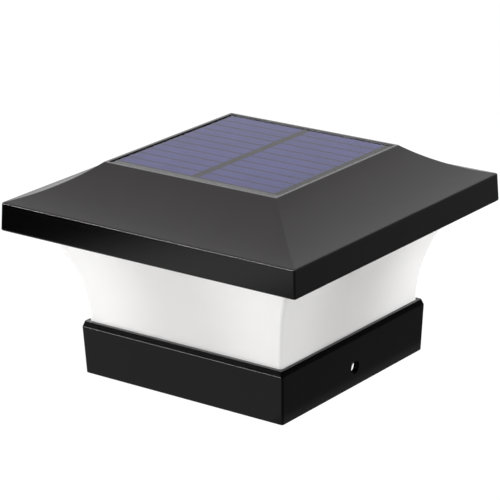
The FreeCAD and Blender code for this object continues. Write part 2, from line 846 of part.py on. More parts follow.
holder_top = cell_z + holder_half_y + size.holder_wall
tab_half = size.contact_thickness * 3
tab_z = cell_z + cell_radius * 0.6
slot_half = tab_half + size.slide_gap
battery_holder = plate_body(
    "battery_holder",
    plate_top,
    holder_top - plate_top,
    rectangle(
        -holder_half_x - size.holder_wall,
        size.battery_place - holder_half_y - size.holder_wall,
        holder_half_x + size.holder_wall,
        size.battery_place + holder_half_y + size.holder_wall,
    ),
)
well = sketch_on(battery_holder, "XY_Plane", plate_top)
draw(well, battery_window)
pocket(battery_holder, well, holder_top - size.holder_wall - plate_top, up=True)
slots = sketch_on(battery_holder, "YZ_Plane")
draw(
    slots,
    rectangle(
        size.battery_place - slot_half,
        tab_z - size.slide_gap,
        size.battery_place + slot_half,
        tab_z + size.contact_thickness + size.slide_gap,
    ),
)
pocket(battery_holder, slots, 4 * holder_half_x, symmetric=True)


def contact(label, hand):
    """A leaf with a pressed bump towards the cell and a solder tab through the holder's wall."""
    body = new_body(label)
    leaf = sketch_on(body, "YZ_Plane", hand * (cell_end + size.contact_bump))
    draw(
        leaf,
        rectangle(
            size.battery_place - cell_radius * 0.7,
            cell_z - cell_radius * 0.5,
            size.battery_place + cell_radius * 0.7,
            tab_z + size.contact_thickness,
        ),
    )
    pad(body, leaf, size.contact_thickness, down=hand < 0)
    bump = sketch_on(body, "YZ_Plane", hand * cell_end)
    draw_circle(bump, size.battery_place, cell_z, cell_radius * 0.3)
    pad(body, bump, size.contact_bump, down=hand < 0)
    tab = sketch_on(body, "XY_Plane", tab_z)
    near = hand * (holder_half_x - size.contact_thickness / 2)
    far = hand * (holder_half_x + size.holder_wall + size.tab_length)
    left, right = (near, far) if hand > 0 else (far, near)
    draw(tab, rectangle(left, size.battery_place - tab_half, right, size.battery_place + tab_half))
    pad(body, tab, size.contact_thickness)
    return body


battery_contact_positive = contact("battery_contact_positive", 1)
battery_contact_negative = contact("battery_contact_negative", -1)

# Battery door: a shallow tub on a hinge, with a finger tab

door_top = plate_bottom - size.slide_gap
door_bottom = plate_bottom - size.battery_drop - size.slide_gap - size.door_wall
half_door = size.door_length / 2
door_low = size.battery_place - size.door_width / 2
door_high = size.battery_place + size.door_width / 2
battery_door = plate_body(
    "battery_door",
    door_bottom,
    door_top - door_bottom,
    rectangle(-half_door, door_low, half_door, door_high),
)
tub = sketch_on(battery_door, "XY_Plane", door_bottom + size.door_wall)
draw(
    tub,
    rectangle(
        size.door_wall - half_door,
        door_low + size.door_wall,
        half_door - size.door_wall,
        door_high - size.door_wall,
    ),
)
pocket(battery_door, tub, door_top - door_bottom, up=True)
finger = sketch_on(battery_door, "XY_Plane", door_bottom)
finger_half = size.door_length * 0.12
finger_end = door_low - size.finger_reach
draw(finger, rectangle(-finger_half, finger_end, finger_half, door_low + size.door_wall / 2))
pad(battery_door, finger, size.door_wall)
web = sketch_on(battery_door, "YZ_Plane")
draw(
    web,
    rectangle(door_high - size.door_wall / 2, hinge_z - pin_bore, hinge_y, hinge_z + pin_bore),
)
pad(battery_door, web, 2 * knuckle_half, symmetric=True)
barrel = sketch_on(battery_door, "YZ_Plane")
draw_circle(barrel, hinge_y, hinge_z, size.hinge_drop - size.slide_gap)
pad(battery_door, barrel, 2 * knuckle_half, symmetric=True)
bore = sketch_on(battery_door, "YZ_Plane")
draw_circle(bore, hinge_y, hinge_z, pin_bore)
pocket(battery_door, bore, 4 * knuckle_half, symmetric=True)

pin_head = size.hinge_pin_diameter / 2
pin_half = ear_inside + ear_thickness
door_hinge_pin = new_body("door_hinge_pin")
shaft = sketch_on(door_hinge_pin, "YZ_Plane", -pin_half)
draw_circle(shaft, hinge_y, hinge_z, pin_radius)
pad(door_hinge_pin, shaft, 2 * pin_half + pin_head)
head = sketch_on(door_hinge_pin, "YZ_Plane", -pin_half - pin_head)
draw_circle(head, hinge_y, hinge_z, pin_radius * 1.8)
pad(door_hinge_pin, head, pin_head)

# Leads

lead_radius = size.lead_diameter / 2
tab_top = tab_z + size.contact_thickness + lead_radius + size.pin_gap
tab_x = holder_half_x + size.holder_wall + size.tab_length / 2
lead_x = window_half_x - 1.2 * size.lead_bend
lead_y = size.board_place + window_half_y - 1.2 * size.lead_bend
lead_turn_y = size.battery_place - holder_half_y - size.holder_wall - 1.6 * size.lead_bend
panel_lead_x = size.lead_hole_diameter / 4
panel_lead_end_x = panel_lead_x + size.lead_diameter
panel_lead_y = size.board_place - window_half_y * 0.7


def battery_lead(label, hand):
    return lead(
        label,
        [
            (hand * tab_x, size.battery_place + tab_half / 2, tab_top),
            (hand * tab_x, lead_turn_y, tab_top),
            (hand * lead_x, lead_y, tab_top),
            (hand * lead_x, lead_y, plate_bottom),
        ],
        lead_radius,
        size.lead_bend.number,
    )


def panel_lead(label, hand):
    drop = panel_bottom - plate_bottom
    return lead(
        label,
        [
            (hand * panel_lead_x, size.board_place, panel_bottom),
            (hand * panel_lead_x, size.board_place, panel_bottom - drop * 0.4),
            (hand * panel_lead_end_x, panel_lead_y, panel_bottom - drop * 0.6),
            (hand * panel_lead_end_x, panel_lead_y, plate_bottom),
        ],
        lead_radius,
        size.lead_bend.number,
    )


battery_lead_red = battery_lead("battery_lead_red", 1)
battery_lead_black = battery_lead("battery_lead_black", -1)
panel_lead_red = panel_lead("panel_lead_red", 1)
panel_lead_black = panel_lead("panel_lead_black", -1)
lead_seal = new_body("lead_seal")
plug = sketch_on(lead_seal, "XY_Plane", tray_bottom)
draw_circle(plug, 0, size.board_place, size.lead_hole_diameter / 2 - size.pin_gap)
draw_circle(plug, panel_lead_x, size.board_place, lead_radius + size.pin_gap)
draw_circle(plug, -panel_lead_x, size.board_place, lead_radius + size.pin_gap)
pad(lead_seal, plug, size.tray_wall)

# Skirt: a drafted square collar with a post socket and a flange under the shade

shoulder_z = size.skirt_height - size.shoulder_height
flange_thickness = size.skirt_height - size.socket_depth
head_pocket = size.screw_head_height + size.slide_gap
skirt = mitred_body(
    "skirt",
    [
        (half_skirt, sized(0)),
        (half_shoulder, shoulder_z),
        (half_shoulder - size.shoulder_width, size.skirt_height),
    ],
    {},
    reach,
)
fillet(skirt, size.skirt_corner_radius, on_mitre)
socket = sketch_on(skirt, "XY_Plane")
draw(socket, square(socket_half))
pocket(skirt, socket, size.socket_depth, up=True)
way_up = sketch_on(skirt, "XY_Plane", size.socket_depth - OVERCUT)
draw(way_up, square(size.skirt_opening / 2))
pocket(skirt, way_up, flange_thickness + 2 * OVERCUT, up=True)
round_pockets(
    skirt,
    size.socket_depth,
    head_pocket,
    [(x, y, head_radius + size.slide_gap) for x, y in four_corners(foot_screw_place)],
)
round_pockets(
    skirt,
    size.socket_depth + head_pocket,
    flange_thickness,
    [(x, y, clear_radius) for x, y in four_corners(foot_screw_place)],
)
side_holes = sketch_on(skirt, "YZ_Plane")
draw_circle(side_holes, 0, size.post_hole_height, size.post_hole_diameter / 2)
pocket(skirt, side_holes, 2 * reach, symmetric=True)
skirt_screws = screws(
    "skirt_screws",
    four_corners(foot_screw_place),
    size.socket_depth + head_pocket,
    core_radius,
    head_radius,
    size.screw_head_height,
    flange_thickness - head_pocket + size.foot_thickness + size.foot_boss_height - size.blind_end / 2,
)

# Pieces

PIECES = [
    roof_shell,
    panel_resin,
    solar_cells,
    panel_board,
    panel_adhesive,
    panel_lead_red,
    panel_lead_black,
    lead_seal,
    soffit_plate,
    soffit_screws,
    shade,
    shade_seal,
    lamp_plate,
    lamp_plate_screws,
    led_board,
    led_chips,
    driver_chip,
    inductor,
    capacitor,
    small_parts,
    board_screws,
    switch_body,
    power_button,
    battery_holder,
    battery_cell,
    battery_contact_positive,
    battery_contact_negative,
    battery_lead_red,
    battery_lead_black,
    battery_door,
    door_hinge_pin,
    skirt,
    skirt_screws,
]

doc.recompute()
for thing in doc.Objects:
    if "Invalid" in thing.State or "Error" in thing.State:
        raise RuntimeError(f"{thing.Label} did not build")
os.makedirs("parts", exist_ok=True)
for piece in PIECES:
    if piece.Shape.isNull() or not piece.Shape.isValid() or not piece.Shape.Solids:
        raise RuntimeError(f"{piece.Label} has no sound solid")
    piece.Shape.exportStep(f"parts/{piece.Label}.step")
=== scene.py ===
# %% [markdown]
# # A solar light that caps a square post
#
# The real object is a black hipped roof with a solar panel sunk into its top, a milky white shade that flares up to
# the eaves, and a black skirt that slips over a post. The engineering model already gives every piece its size and
# place, so Blender's job here is the finish: soft moulded edges, plastics, glass-clear resin, metal and light.
# The imported model is loaded first.

# %% The imported model
import json
import math

import bmesh
import bpy
from mathutils import Matrix, Vector

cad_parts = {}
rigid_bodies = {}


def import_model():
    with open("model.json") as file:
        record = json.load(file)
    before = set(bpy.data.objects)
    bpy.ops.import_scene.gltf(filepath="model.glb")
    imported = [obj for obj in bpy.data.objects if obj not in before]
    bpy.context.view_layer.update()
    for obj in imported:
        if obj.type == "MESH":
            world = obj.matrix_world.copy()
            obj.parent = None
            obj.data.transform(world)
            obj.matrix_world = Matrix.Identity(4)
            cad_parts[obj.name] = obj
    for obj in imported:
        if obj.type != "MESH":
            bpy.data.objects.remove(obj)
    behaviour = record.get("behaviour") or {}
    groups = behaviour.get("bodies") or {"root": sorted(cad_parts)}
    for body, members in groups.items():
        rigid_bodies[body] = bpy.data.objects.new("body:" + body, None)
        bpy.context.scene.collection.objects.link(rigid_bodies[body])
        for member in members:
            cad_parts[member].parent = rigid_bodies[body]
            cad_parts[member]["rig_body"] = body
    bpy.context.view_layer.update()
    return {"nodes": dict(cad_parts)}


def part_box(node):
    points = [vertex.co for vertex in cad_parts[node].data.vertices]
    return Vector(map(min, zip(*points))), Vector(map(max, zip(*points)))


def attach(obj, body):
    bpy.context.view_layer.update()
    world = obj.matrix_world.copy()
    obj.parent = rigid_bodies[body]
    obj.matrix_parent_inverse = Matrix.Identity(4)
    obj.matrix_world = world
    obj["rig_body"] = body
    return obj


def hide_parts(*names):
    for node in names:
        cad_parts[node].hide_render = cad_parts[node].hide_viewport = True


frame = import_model()
MM = 0.001
WELD = 0.000002  # points closer than this, in metres, become one
SQUARE = ((-1, -1), (1, -1), (1, 1), (-1, 1))
BOX_FACES = [(3, 2, 1, 0), (4, 5, 6, 7)] + [(i, (i + 1) % 4, (i + 1) % 4 + 4, i + 4) for i in range(4)]


# %% [markdown]
# ## Small tools for node trees
#
# Geometry trees and materials are both graphs of nodes, so one function can add a node to either: it sets a socket
# where it is given a value and draws a link where it is given another node's output. A second one makes a tree with
# named inputs and outputs, so that the sizes of a piece can be read and changed by name. The others are short names
# for the nodes that nearly every finish uses.

# %% Tools for node trees
def add_node(tree, kind, inputs=None, **settings):
    """Adds a node; inputs maps socket names or numbers to a value, or to the output that feeds the socket."""
    made = tree.nodes.new(kind)
    for setting, value in settings.items():
        setattr(made, setting, value)
    for socket, value in (inputs or {}).items():
        if isinstance(value, bpy.types.NodeSocket):
            tree.links.new(value, made.inputs[socket])
        else:
            made.inputs[socket].default_value = value
    return made


def new_tree(name, kind, inputs, outputs):
    """A node tree with named inputs, given as (name, socket kind, usual value), and outputs, as (name, kind)."""
    tree = bpy.data.node_groups.new(name, kind)
    for label, socket, value in inputs:
        made = tree.interface.new_socket(name=label, in_out="INPUT", socket_type="NodeSocket" + socket)
        if value is not None:
            made.default_value = value
    for label, socket in outputs:
        tree.interface.new_socket(name=label, in_out="OUTPUT", socket_type="NodeSocket" + socket)
    return tree, tree.nodes.new("NodeGroupInput").outputs, tree.nodes.new("NodeGroupOutput").inputs


# %% Short names for common nodes
def object_spot(tree):
    """Where a point of the surface lies on its own object, so that a pattern keeps its real size."""
    return add_node(tree, "ShaderNodeTexCoord").outputs["Object"]


def split(tree, vector):
    return add_node(tree, "ShaderNodeSeparateXYZ", {0: vector}).outputs


def maths(tree, operation, *values, **settings):
    return add_node(tree, "ShaderNodeMath", dict(enumerate(values)), operation=operation, **settings).outputs[0]


def ramp(tree, value, low, high, start=0.0, end=1.0, **settings):
    """Runs from start to end while the value runs from low to high, and stays there beyond."""
    ends = {"Value": value, "From Min": low, "From Max": high, "To Min": start, "To Max": end}
    return add_node(tree, "ShaderNodeMapRange", ends, **settings).outputs[0]


def noise(tree, spot, scale, detail):
    return add_node(tree, "ShaderNodeTexNoise", {"Vector": spot, "Scale": scale, "Detail": detail}).outputs[0]


def tinted(tree, colour, share):
    return add_node(tree, "ShaderNodeVectorMath", {0: colour, "Scale": share}, operation="SCALE").outputs[0]


def blend(tree, share, first, second):
    """A mix of two colours."""
    return add_node(tree, "ShaderNodeMix", {0: share, 6: first, 7: second}, data_type="RGBA").outputs[2]


def bump(tree, height, depth, strength):
    return add_node(tree, "ShaderNodeBump", {"Strength": strength, "Distance": depth, "Height": height}).outputs[0]


def feed(tree, inputs, results):
    """Links results to the inputs of those names."""
    for socket, result in results.items():
        tree.links.new(result, inputs[socket])


# %% [markdown]
# ## A shell from its wall's section
#
# Roof, shade and skirt obey one rule: cut them level at any height and the outline is a square with rounded corners.
# They could be extruded and bevelled by hand, but then each corner has to be mended where slopes meet. Here the
# wall's section is drawn once as a line of points, half width across and level up, and a geometry tree puts a rounded
# square through every point. Its Corner input runs from 0, a sharp square, to 1, a circle, so the same tree also
# turns round pieces such as screws and the button.

# %% The tree that makes a shell
def dress(tree, geometry, finish, result):
    """The end of every geometry tree here: real geometry, with its finish."""
    whole = add_node(tree, "GeometryNodeRealizeInstances", {"Geometry": geometry})
    dressed = add_node(tree, "GeometryNodeSetMaterial", {"Geometry": whole.outputs[0], "Material": finish})
    tree.links.new(dressed.outputs[0], result)


def shell_tree():
    tree, given, made = new_tree(
        "shell_from_section",
        "GeometryNodeTree",
        [
            ("Section", "Geometry", None),
            ("Corner", "Float", 0.02),
            ("Corner Steps", "Int", 6),
            ("Finish", "Material", None),
        ],
        [("Shell", "Geometry")],
    )
    path = add_node(tree, "GeometryNodeMeshToCurve", {"Mesh": given["Section"]})
    kept = add_node(tree, "GeometryNodeCaptureAttribute", {"Geometry": path.outputs["Curve"]})
    kept.capture_items.new("VECTOR", "Section Point")
    tree.links.new(add_node(tree, "GeometryNodeInputPosition").outputs[0], kept.inputs[1])
    section_point = split(tree, kept.outputs[1])
    rank = add_node(tree, "GeometryNodeInputIndex").outputs[0]
    ladder = add_node(tree, "ShaderNodeCombineXYZ", {"Z": rank}).outputs[0]
    spread = add_node(tree, "GeometryNodeSetPosition", {"Geometry": kept.outputs[0], "Position": ladder})
    outline = add_node(tree, "GeometryNodeCurvePrimitiveQuadrilateral", {"Width": 2.0, "Height": 2.0}).outputs[0]
    corners = {"Count": given["Corner Steps"], "Radius": given["Corner"], "Limit Radius": True}
    rounded = add_node(tree, "GeometryNodeFilletCurve", {"Curve": outline, **corners}, mode="POLY")
    swept = add_node(
        tree,
        "GeometryNodeCurveToMesh",
        {"Curve": spread.outputs[0], "Profile Curve": rounded.outputs[0], "Scale": section_point["X"]},
    )
    across = split(tree, add_node(tree, "GeometryNodeInputPosition").outputs[0])
    level = {"X": across["X"], "Y": across["Y"], "Z": section_point["Z"]}
    spot = add_node(tree, "ShaderNodeCombineXYZ", level).outputs[0]
    set_down = add_node(tree, "GeometryNodeSetPosition", {"Geometry": swept.outputs[0], "Position": spot})
    closed = add_node(tree, "GeometryNodeMergeByDistance", {"Geometry": set_down.outputs[0], "Distance": WELD})
    smooth = add_node(tree, "GeometryNodeSetShadeSmooth", {"Geometry": closed.outputs[0]})
    dress(tree, smooth.outputs[0], given["Finish"], made["Shell"])
    return tree


SHELL = shell_tree()
print("shell tree:", len(SHELL.nodes), "nodes")


# %% [markdown]
# ## Sections with eased edges, and baking
#
# No moulded edge is truly sharp, and it is the small round that catches the light. The section's corners are
# therefore eased before the shell is made, each with its own radius in millimetres. After the tree has run, the
# result is baked to a plain mesh, its faces are turned outward, and weighted normals keep the broad faces flat beside
# their rounds.

# %% Helpers for sections
def arc(centre, radius, start, end, steps):
    """Points on an arc about a centre, from one point to another."""
    first, last = (math.atan2(p[1] - centre[1], p[0] - centre[0]) for p in (start, end))
    turns = [first + (last - first) * i / steps for i in range(steps + 1)]
    return [(centre[0] + radius * math.cos(t), centre[1] + radius * math.sin(t), 0) for t in turns]


def eased(corners, steps=4):
    """A closed section in millimetres: each (half width, level, radius) corner is rounded by its radius."""
    points = []
    for i, (x, z, radius) in enumerate(corners):
        if not radius:
            points.append((x, z))
            continue
        near = (corners[i], corners[i - 1], corners[(i + 1) % len(corners)])
        here, before, after = (Vector(corner[:2]) for corner in near)
        come, leave = (before - here).normalized(), (after - here).normalized()
        half = come.angle(leave) / 2
        middle = here + (come + leave).normalized() * (radius / math.sin(half))
        start = here + come * (radius / math.tan(half)) - middle
        sweep = start.angle_signed(here + leave * (radius / math.tan(half)) - middle)
        for k in range(steps + 1):
            turned = Matrix.Rotation(-sweep * k / steps, 2) @ start
            points.append(tuple(middle + turned))
    return points


def in_mm(box):
    """A box's two corners in millimetres."""
    return [[c / MM for c in corner] for corner in box]


# %% Helpers for pieces
def run_tree(piece, tree, values):
    """Puts a geometry tree on a piece, with its inputs set through their identifiers."""
    step = piece.modifiers.new(tree.name, "NODES")
    step.node_group = tree
    for item in tree.interface.items_tree:
        if item.name in values:
            step[item.identifier] = values[item.name]


def bake(piece):
    """Turns what the modifiers make into the piece's own plain mesh."""
    bpy.context.view_layer.update()
    solid = bpy.data.meshes.new_from_object(piece.evaluated_get(bpy.context.evaluated_depsgraph_get()))
    piece.modifiers.clear()
    piece.data = solid


def settle_normals(piece, sharp=35):
    """Faces outward, edges sharper than an angle kept crisp, broad faces kept flat."""
    work = bmesh.new()
    work.from_mesh(piece.data)
    bmesh.ops.recalc_face_normals(work, faces=work.faces)
    work.to_mesh(piece.data)
    work.free()
    piece.data.shade_smooth()
    piece.data.set_sharp_from_angle(angle=math.radians(sharp))
    step = piece.modifiers.new("flat_faces", "WEIGHTED_NORMAL")
    step.keep_sharp = True
    bake(piece)


def new_piece(name, points=(), edges=(), faces=()):
    mesh = bpy.data.meshes.new(name)
    mesh.from_pydata(points, edges, faces)
    piece = bpy.data.objects.new(name, mesh)
    bpy.context.scene.collection.objects.link(piece)
    return piece


def shell(name, section, corner, finish, steps=6, at=(0, 0)):
    """A shell piece from a section in millimetres; at moves it sideways, also in millimetres."""
    points = [(x * MM, 0, z * MM) for x, z in section]
    piece = new_piece(name, points, [(i, i + 1) for i in range(len(points) - 1)])
    run_tree(piece, SHELL, {"Corner": corner, "Corner Steps": steps, "Finish": finish})
    bake(piece)
    piece.data.transform(Matrix.Translation((at[0] * MM, at[1] * MM, 0)))
    return piece


def place(piece, node):
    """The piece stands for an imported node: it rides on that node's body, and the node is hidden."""
    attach(piece, frame["nodes"][node]["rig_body"])
    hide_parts(node)
    spots = [vertex.co / MM for vertex in piece.data.vertices]
    size = [round(max(s[axis] for s in spots) - min(s[axis] for s in spots), 1) for axis in range(3)]
    print(piece.name, "for", node, "mm:", size, "faces:", len(piece.data.polygons))


# %% [markdown]
# ## Setting out rows
#
# Cells, light chips, screws and the bosses they bite into are each one small thing set out in rows. Copying objects
# by hand would leave dozens to keep in step; a geometry tree puts one template on the points of a grid instead. It
# ends by realizing the instances, so that the baked mesh holds every copy.

# %% The tree that sets out rows
def rows_tree():
    tree, given, made = new_tree(
        "set_in_rows",
        "GeometryNodeTree",
        [
            ("Start", "Geometry", None),
            ("Template", "Object", None),
            ("Columns", "Int", 2),
            ("Rows", "Int", 2),
            ("Width", "Float", 0.1),
            ("Depth", "Float", 0.1),
            ("Middle Y", "Float", 0.0),
            ("Finish", "Material", None),
        ],
        [("Set", "Geometry")],
    )
    size = {"Size X": given["Width"], "Size Y": given["Depth"]}
    count = {"Vertices X": given["Columns"], "Vertices Y": given["Rows"]}
    grid = add_node(tree, "GeometryNodeMeshGrid", {**size, **count})
    middle = add_node(tree, "ShaderNodeCombineXYZ", {"Y": given["Middle Y"]}).outputs[0]
    moved = add_node(tree, "GeometryNodeTransform", {"Geometry": grid.outputs["Mesh"], "Translation": middle})
    template = add_node(tree, "GeometryNodeObjectInfo", {"Object": given["Template"]})
    pairs = {"Points": moved.outputs[0], "Instance": template.outputs["Geometry"]}
    copies = add_node(tree, "GeometryNodeInstanceOnPoints", pairs)
    dress(tree, copies.outputs[0], given["Finish"], made["Set"])
    return tree


ROWS = rows_tree()
print("rows tree:", len(ROWS.nodes), "nodes")


# %% Rows, and bosses set out in rows
BOSS_BORE = 1.25


def set_in_rows(name, template, columns, rows, width, depth, middle, finish):
    """Copies of a template on a grid, in millimetres, baked to one piece."""
    piece = new_piece(name)
    values = {"Template": template, "Columns": columns, "Rows": rows, "Finish": finish}
    values.update({"Width": width * MM, "Depth": depth * MM, "Middle Y": middle * MM})
    run_tree(piece, ROWS, values)
    bake(piece)
    bpy.data.objects.remove(template)
    return piece


def add_bosses(piece, spot, radius, low, top, finish):
    """Adds four screw bosses to a moulding, in millimetres; top gives their upper level at a half width."""
    tube = [(BOSS_BORE, low), (radius, low), (radius, low + 1), (BOSS_BORE, low + 1), (BOSS_BORE, low)]
    four = set_in_rows("bosses", shell("boss", tube, 1.0, finish), 2, 2, 2 * spot, 2 * spot, 0, finish)
    for vertex in four.data.vertices:
        if vertex.co.z > (low + 0.5) * MM:
            vertex.co.z = top(max(abs(vertex.co.x), abs(vertex.co.y)) / MM) * MM
    work = bmesh.new()
    for part in (piece, four):
        work.from_mesh(part.data)
    work.to_mesh(piece.data)
    work.free()
    bpy.data.objects.remove(four)


# %% [markdown]
# ## The moulded skin of the plastics
#
# Injection-moulded plastic is never one flat tone: the tool leaves a fine grain that breaks up the gloss, and the
# melt cools with a faint mottle. Every plastic here shares that, so it is one shader group with its own colour,
# roughness, grain and mottle in each material. It reads Object coordinates, so the grain keeps its real size on every
# piece.

# %% The moulded skin group
def skin_group():
    tree, given, made = new_tree(
        "moulded_skin",
        "ShaderNodeTree",
        [
            ("Colour", "Color", (0.5, 0.5, 0.5, 1)),
            ("Roughness", "Float", 0.4),
            ("Grain", "Float", 2200.0),
            ("Mottle", "Float", 0.08),
        ],
        [("Colour", "Color"), ("Roughness", "Float"), ("Height", "Float")],
    )
    spot = object_spot(tree)
    grain = noise(tree, spot, given["Grain"], 3.0)
    swing = maths(tree, "MULTIPLY", maths(tree, "SUBTRACT", noise(tree, spot, 45.0, 4.0), 0.5), given["Mottle"])
    colour = tinted(tree, given["Colour"], maths(tree, "MULTIPLY_ADD", swing, 2.0, 1.0))
    uneven = maths(tree, "MULTIPLY_ADD", grain, 0.16, -0.08)
    rough = maths(tree, "ADD", given["Roughness"], uneven, use_clamp=True)
    feed(tree, made, {"Colour": colour, "Roughness": rough, "Height": grain})
    return tree


SKIN = skin_group()
print("skin group:", len(SKIN.nodes), "nodes")


# %% Finishes with that skin
def new_finish(name, fixed):
    """A material whose shader has the given values where they are the same all over."""
    finish = bpy.data.materials.new(name)
    finish.use_nodes = True
    shader = finish.node_tree.nodes["Principled BSDF"].inputs
    for socket, value in fixed.items():
        shader[socket].default_value = value
    return finish, finish.node_tree, shader


def moulded(name, colour, roughness, grain=2200.0, mottle=0.08, depth=0.00001, fixed=None):
    """A moulded plastic: the skin group feeds colour, roughness and a very shallow bump."""
    finish, tree, shader = new_finish(name, fixed or {})
    look = {"Colour": (*colour, 1), "Roughness": roughness, "Grain": grain, "Mottle": mottle}
    skin = add_node(tree, "ShaderNodeGroup", look, node_tree=SKIN).outputs
    feed(tree, shader, {"Base Color": skin["Colour"], "Roughness": skin["Roughness"]})
    feed(tree, shader, {"Normal": bump(tree, skin["Height"], depth, 0.5)})
    return finish


def recolour(finish, pick):
    """Changes a moulded finish's colour: pick gets its tree and the skin's colour and gives the new one."""
    tree = finish.node_tree
    colour = pick(tree, tree.nodes["Group"].outputs["Colour"])
    feed(tree, tree.nodes["Principled BSDF"].inputs, {"Base Color": colour})
    return finish


# %% [markdown]
# ## The roof
#
# The roof is one black moulding: an upright rim, four hollow slopes and a thin lip round the sunken panel. In the
# photograph the slopes are a soft charcoal with a satin sheen, the rim is a much deeper black that mirrors little,
# its top edge and the lip draw pale lines, and the far wall of the panel's recess is grey. Here the one black is
# given in lit and shaded copies: the rim's darker black is painted shade, the lip's paler tone is a painted
# highlight, and the grey far wall of the recess is painted light; the rim's top edge gets a glossier finish. One
# mesh can hold several finishes, so its faces are shared out by place instead of cutting the moulding into pieces
# that the real one doesn't have.

# %% The roof's finishes
SATIN_BLACK = moulded(
    "satin_black",
    (0.026, 0.0232, 0.0243),
    0.42,
    grain=1500.0,
    mottle=0.14,
    depth=0.00002,
    fixed={"Specular IOR Level": 0.2, "Coat Weight": 0.65, "Coat Roughness": 0.1, "Coat IOR": 1.22},
)
DULL, BRIGHT = {"Specular IOR Level": 0.25}, {"Specular IOR Level": 1.0}
# painted shade: a darker copy of the roof's black, for the rim and the skirt
BLACK_PAINTED_SHADE = moulded("black_painted_shade", (0.001, 0.0009, 0.0011), 0.14, mottle=0.1, fixed=DULL)
GLOSS_BLACK = moulded("gloss_black", (0.0017, 0.0016, 0.0018), 0.12, mottle=0.1, fixed=BRIGHT)
# painted highlight: the lip is a paler copy of the roof's black
LIP_PAINTED_HIGHLIGHT = moulded("lip_painted_highlight", (0.08, 0.079, 0.082), 0.14, mottle=0.1)
# painted light: the far wall of the recess, the same black plastic as the rest, is given a grey colour
RECESS_PAINTED_LIGHT = moulded("recess_painted_light", (0.38, 0.38, 0.385), 0.5, mottle=0.1)


def refinish(piece, finish, low, high, where=None):
    """Another finish for faces, by their middle in millimetres: between two levels, and where a rule says so."""
    piece.data.materials.append(finish)
    last = len(piece.data.materials) - 1
    middles = [(face, face.center / MM) for face in piece.data.polygons]
    chosen = [face for face, at in middles if low < at.z < high and (where is None or where(at))]
    for face in chosen:
        face.material_index = last
    print(finish.name, "on", len(chosen), "faces of", piece.name)


# %% The roof's section
HALF_RIM, RIM_BOTTOM, RIM_BOTTOM_ROUND = 78.5, 68.7, 0.9
HALF_RIM_TOP, RIM_TOP, RIM_TOP_ROUND = 77.9, 81.5, 0.7
HALF_LIP, HALF_RECESS, LIP_TOP = 46.0, 44.5, 97.3
LIP_ROUND, RECESS_ROUND, EAVE_ROUND, HIP_ROUND = 0.3, 0.25, 0.3, 0.8
SLOPE_RADIUS, SLOPE_STEPS, ROOF_WALL = 85.0, 20, 2.4
TRAY_TOP, TRAY_BOTTOM = 93.4, 91.4


def slope_centre():
    """The axis that the hollow slopes bend round, above and outside the rim."""
    run, rise = HALF_RIM_TOP - HALF_LIP, LIP_TOP - RIM_TOP
    chord = math.hypot(run, rise)
    arm = math.sqrt(SLOPE_RADIUS**2 - chord**2 / 4)
    return ((HALF_LIP + HALF_RIM_TOP) / 2 + arm * rise / chord, (LIP_TOP + RIM_TOP) / 2 + arm * run / chord)


centre = slope_centre()
under = SLOPE_RADIUS + ROOF_WALL
cavity = HALF_RIM - ROOF_WALL
cavity_top = centre[1] - math.sqrt(under**2 - (centre[0] - cavity) ** 2)
tray_half = centre[0] - math.sqrt(under**2 - (centre[1] - TRAY_BOTTOM) ** 2)
slope = arc(centre, SLOPE_RADIUS, (HALF_LIP, LIP_TOP), (HALF_RIM_TOP, RIM_TOP), SLOPE_STEPS)
ceiling = arc(centre, under, (cavity, cavity_top), (tray_half, TRAY_BOTTOM), SLOPE_STEPS)
roof_section = eased(
    [(0, TRAY_TOP, 0), (HALF_RECESS, TRAY_TOP, 0)]
    + [(HALF_RECESS, LIP_TOP, RECESS_ROUND), (HALF_LIP, LIP_TOP, LIP_ROUND)]
    + slope[1:-1]
    + [(HALF_RIM_TOP, RIM_TOP, RIM_TOP_ROUND), (HALF_RIM, RIM_BOTTOM, RIM_BOTTOM_ROUND)]
    + [(cavity, RIM_BOTTOM, EAVE_ROUND)]
    + ceiling
    + [(0, TRAY_BOTTOM, 0)],
    steps=6,
)
print("roof section:", len(roof_section), "points")

# %% The roof's shell
SOFFIT_BOSSES = {"spot": 72.4, "radius": 2.6, "low": 72.7}
PLATE_BOSSES = {"spot": 56.0, "radius": 3.41, "low": 77.0}
EDGE_LOW, EDGE_HIGH = RIM_TOP - 0.55, RIM_TOP - 0.25
LIP_LOW = LIP_TOP - 0.3


def inside_roof(half):
    """A level in the middle of the roof's wall."""
    return centre[1] - math.sqrt((SLOPE_RADIUS + ROOF_WALL / 2) ** 2 - (centre[0] - half) ** 2)


def far_wall(at):
    return HALF_RECESS - 0.5 < at.y < HALF_RECESS + 0.1


roof = shell("moulded_roof", roof_section, HIP_ROUND / HALF_RIM, SATIN_BLACK)
for bosses in (SOFFIT_BOSSES, PLATE_BOSSES):
    add_bosses(roof, **bosses, top=inside_roof, finish=SATIN_BLACK)
settle_normals(roof)
# painted shade: the rim takes the darker copy of the black
refinish(roof, BLACK_PAINTED_SHADE, RIM_BOTTOM - 1, EDGE_LOW)
refinish(roof, GLOSS_BLACK, EDGE_LOW, EDGE_HIGH)
# painted highlight: the lip takes the paler copy of the black
refinish(roof, LIP_PAINTED_HIGHLIGHT, LIP_LOW, LIP_TOP + 1)
# painted light: the far wall of the recess is grey
refinish(roof, RECESS_PAINTED_LIGHT, TRAY_TOP + 0.5, LIP_LOW, far_wall)
place(roof, "roof_shell")


# %% [markdown]
# ## The shade
#
# The shade is a milky plastic that leaves its foot upright and flares on an arc to the eaves. A plain white diffuse
# surface would look like paper; some light has to go in and come out again nearby, which is what subsurface
# scattering does. The wall is a real two-millimetre wall with a foot flange, so the scattering has something to
# cross.

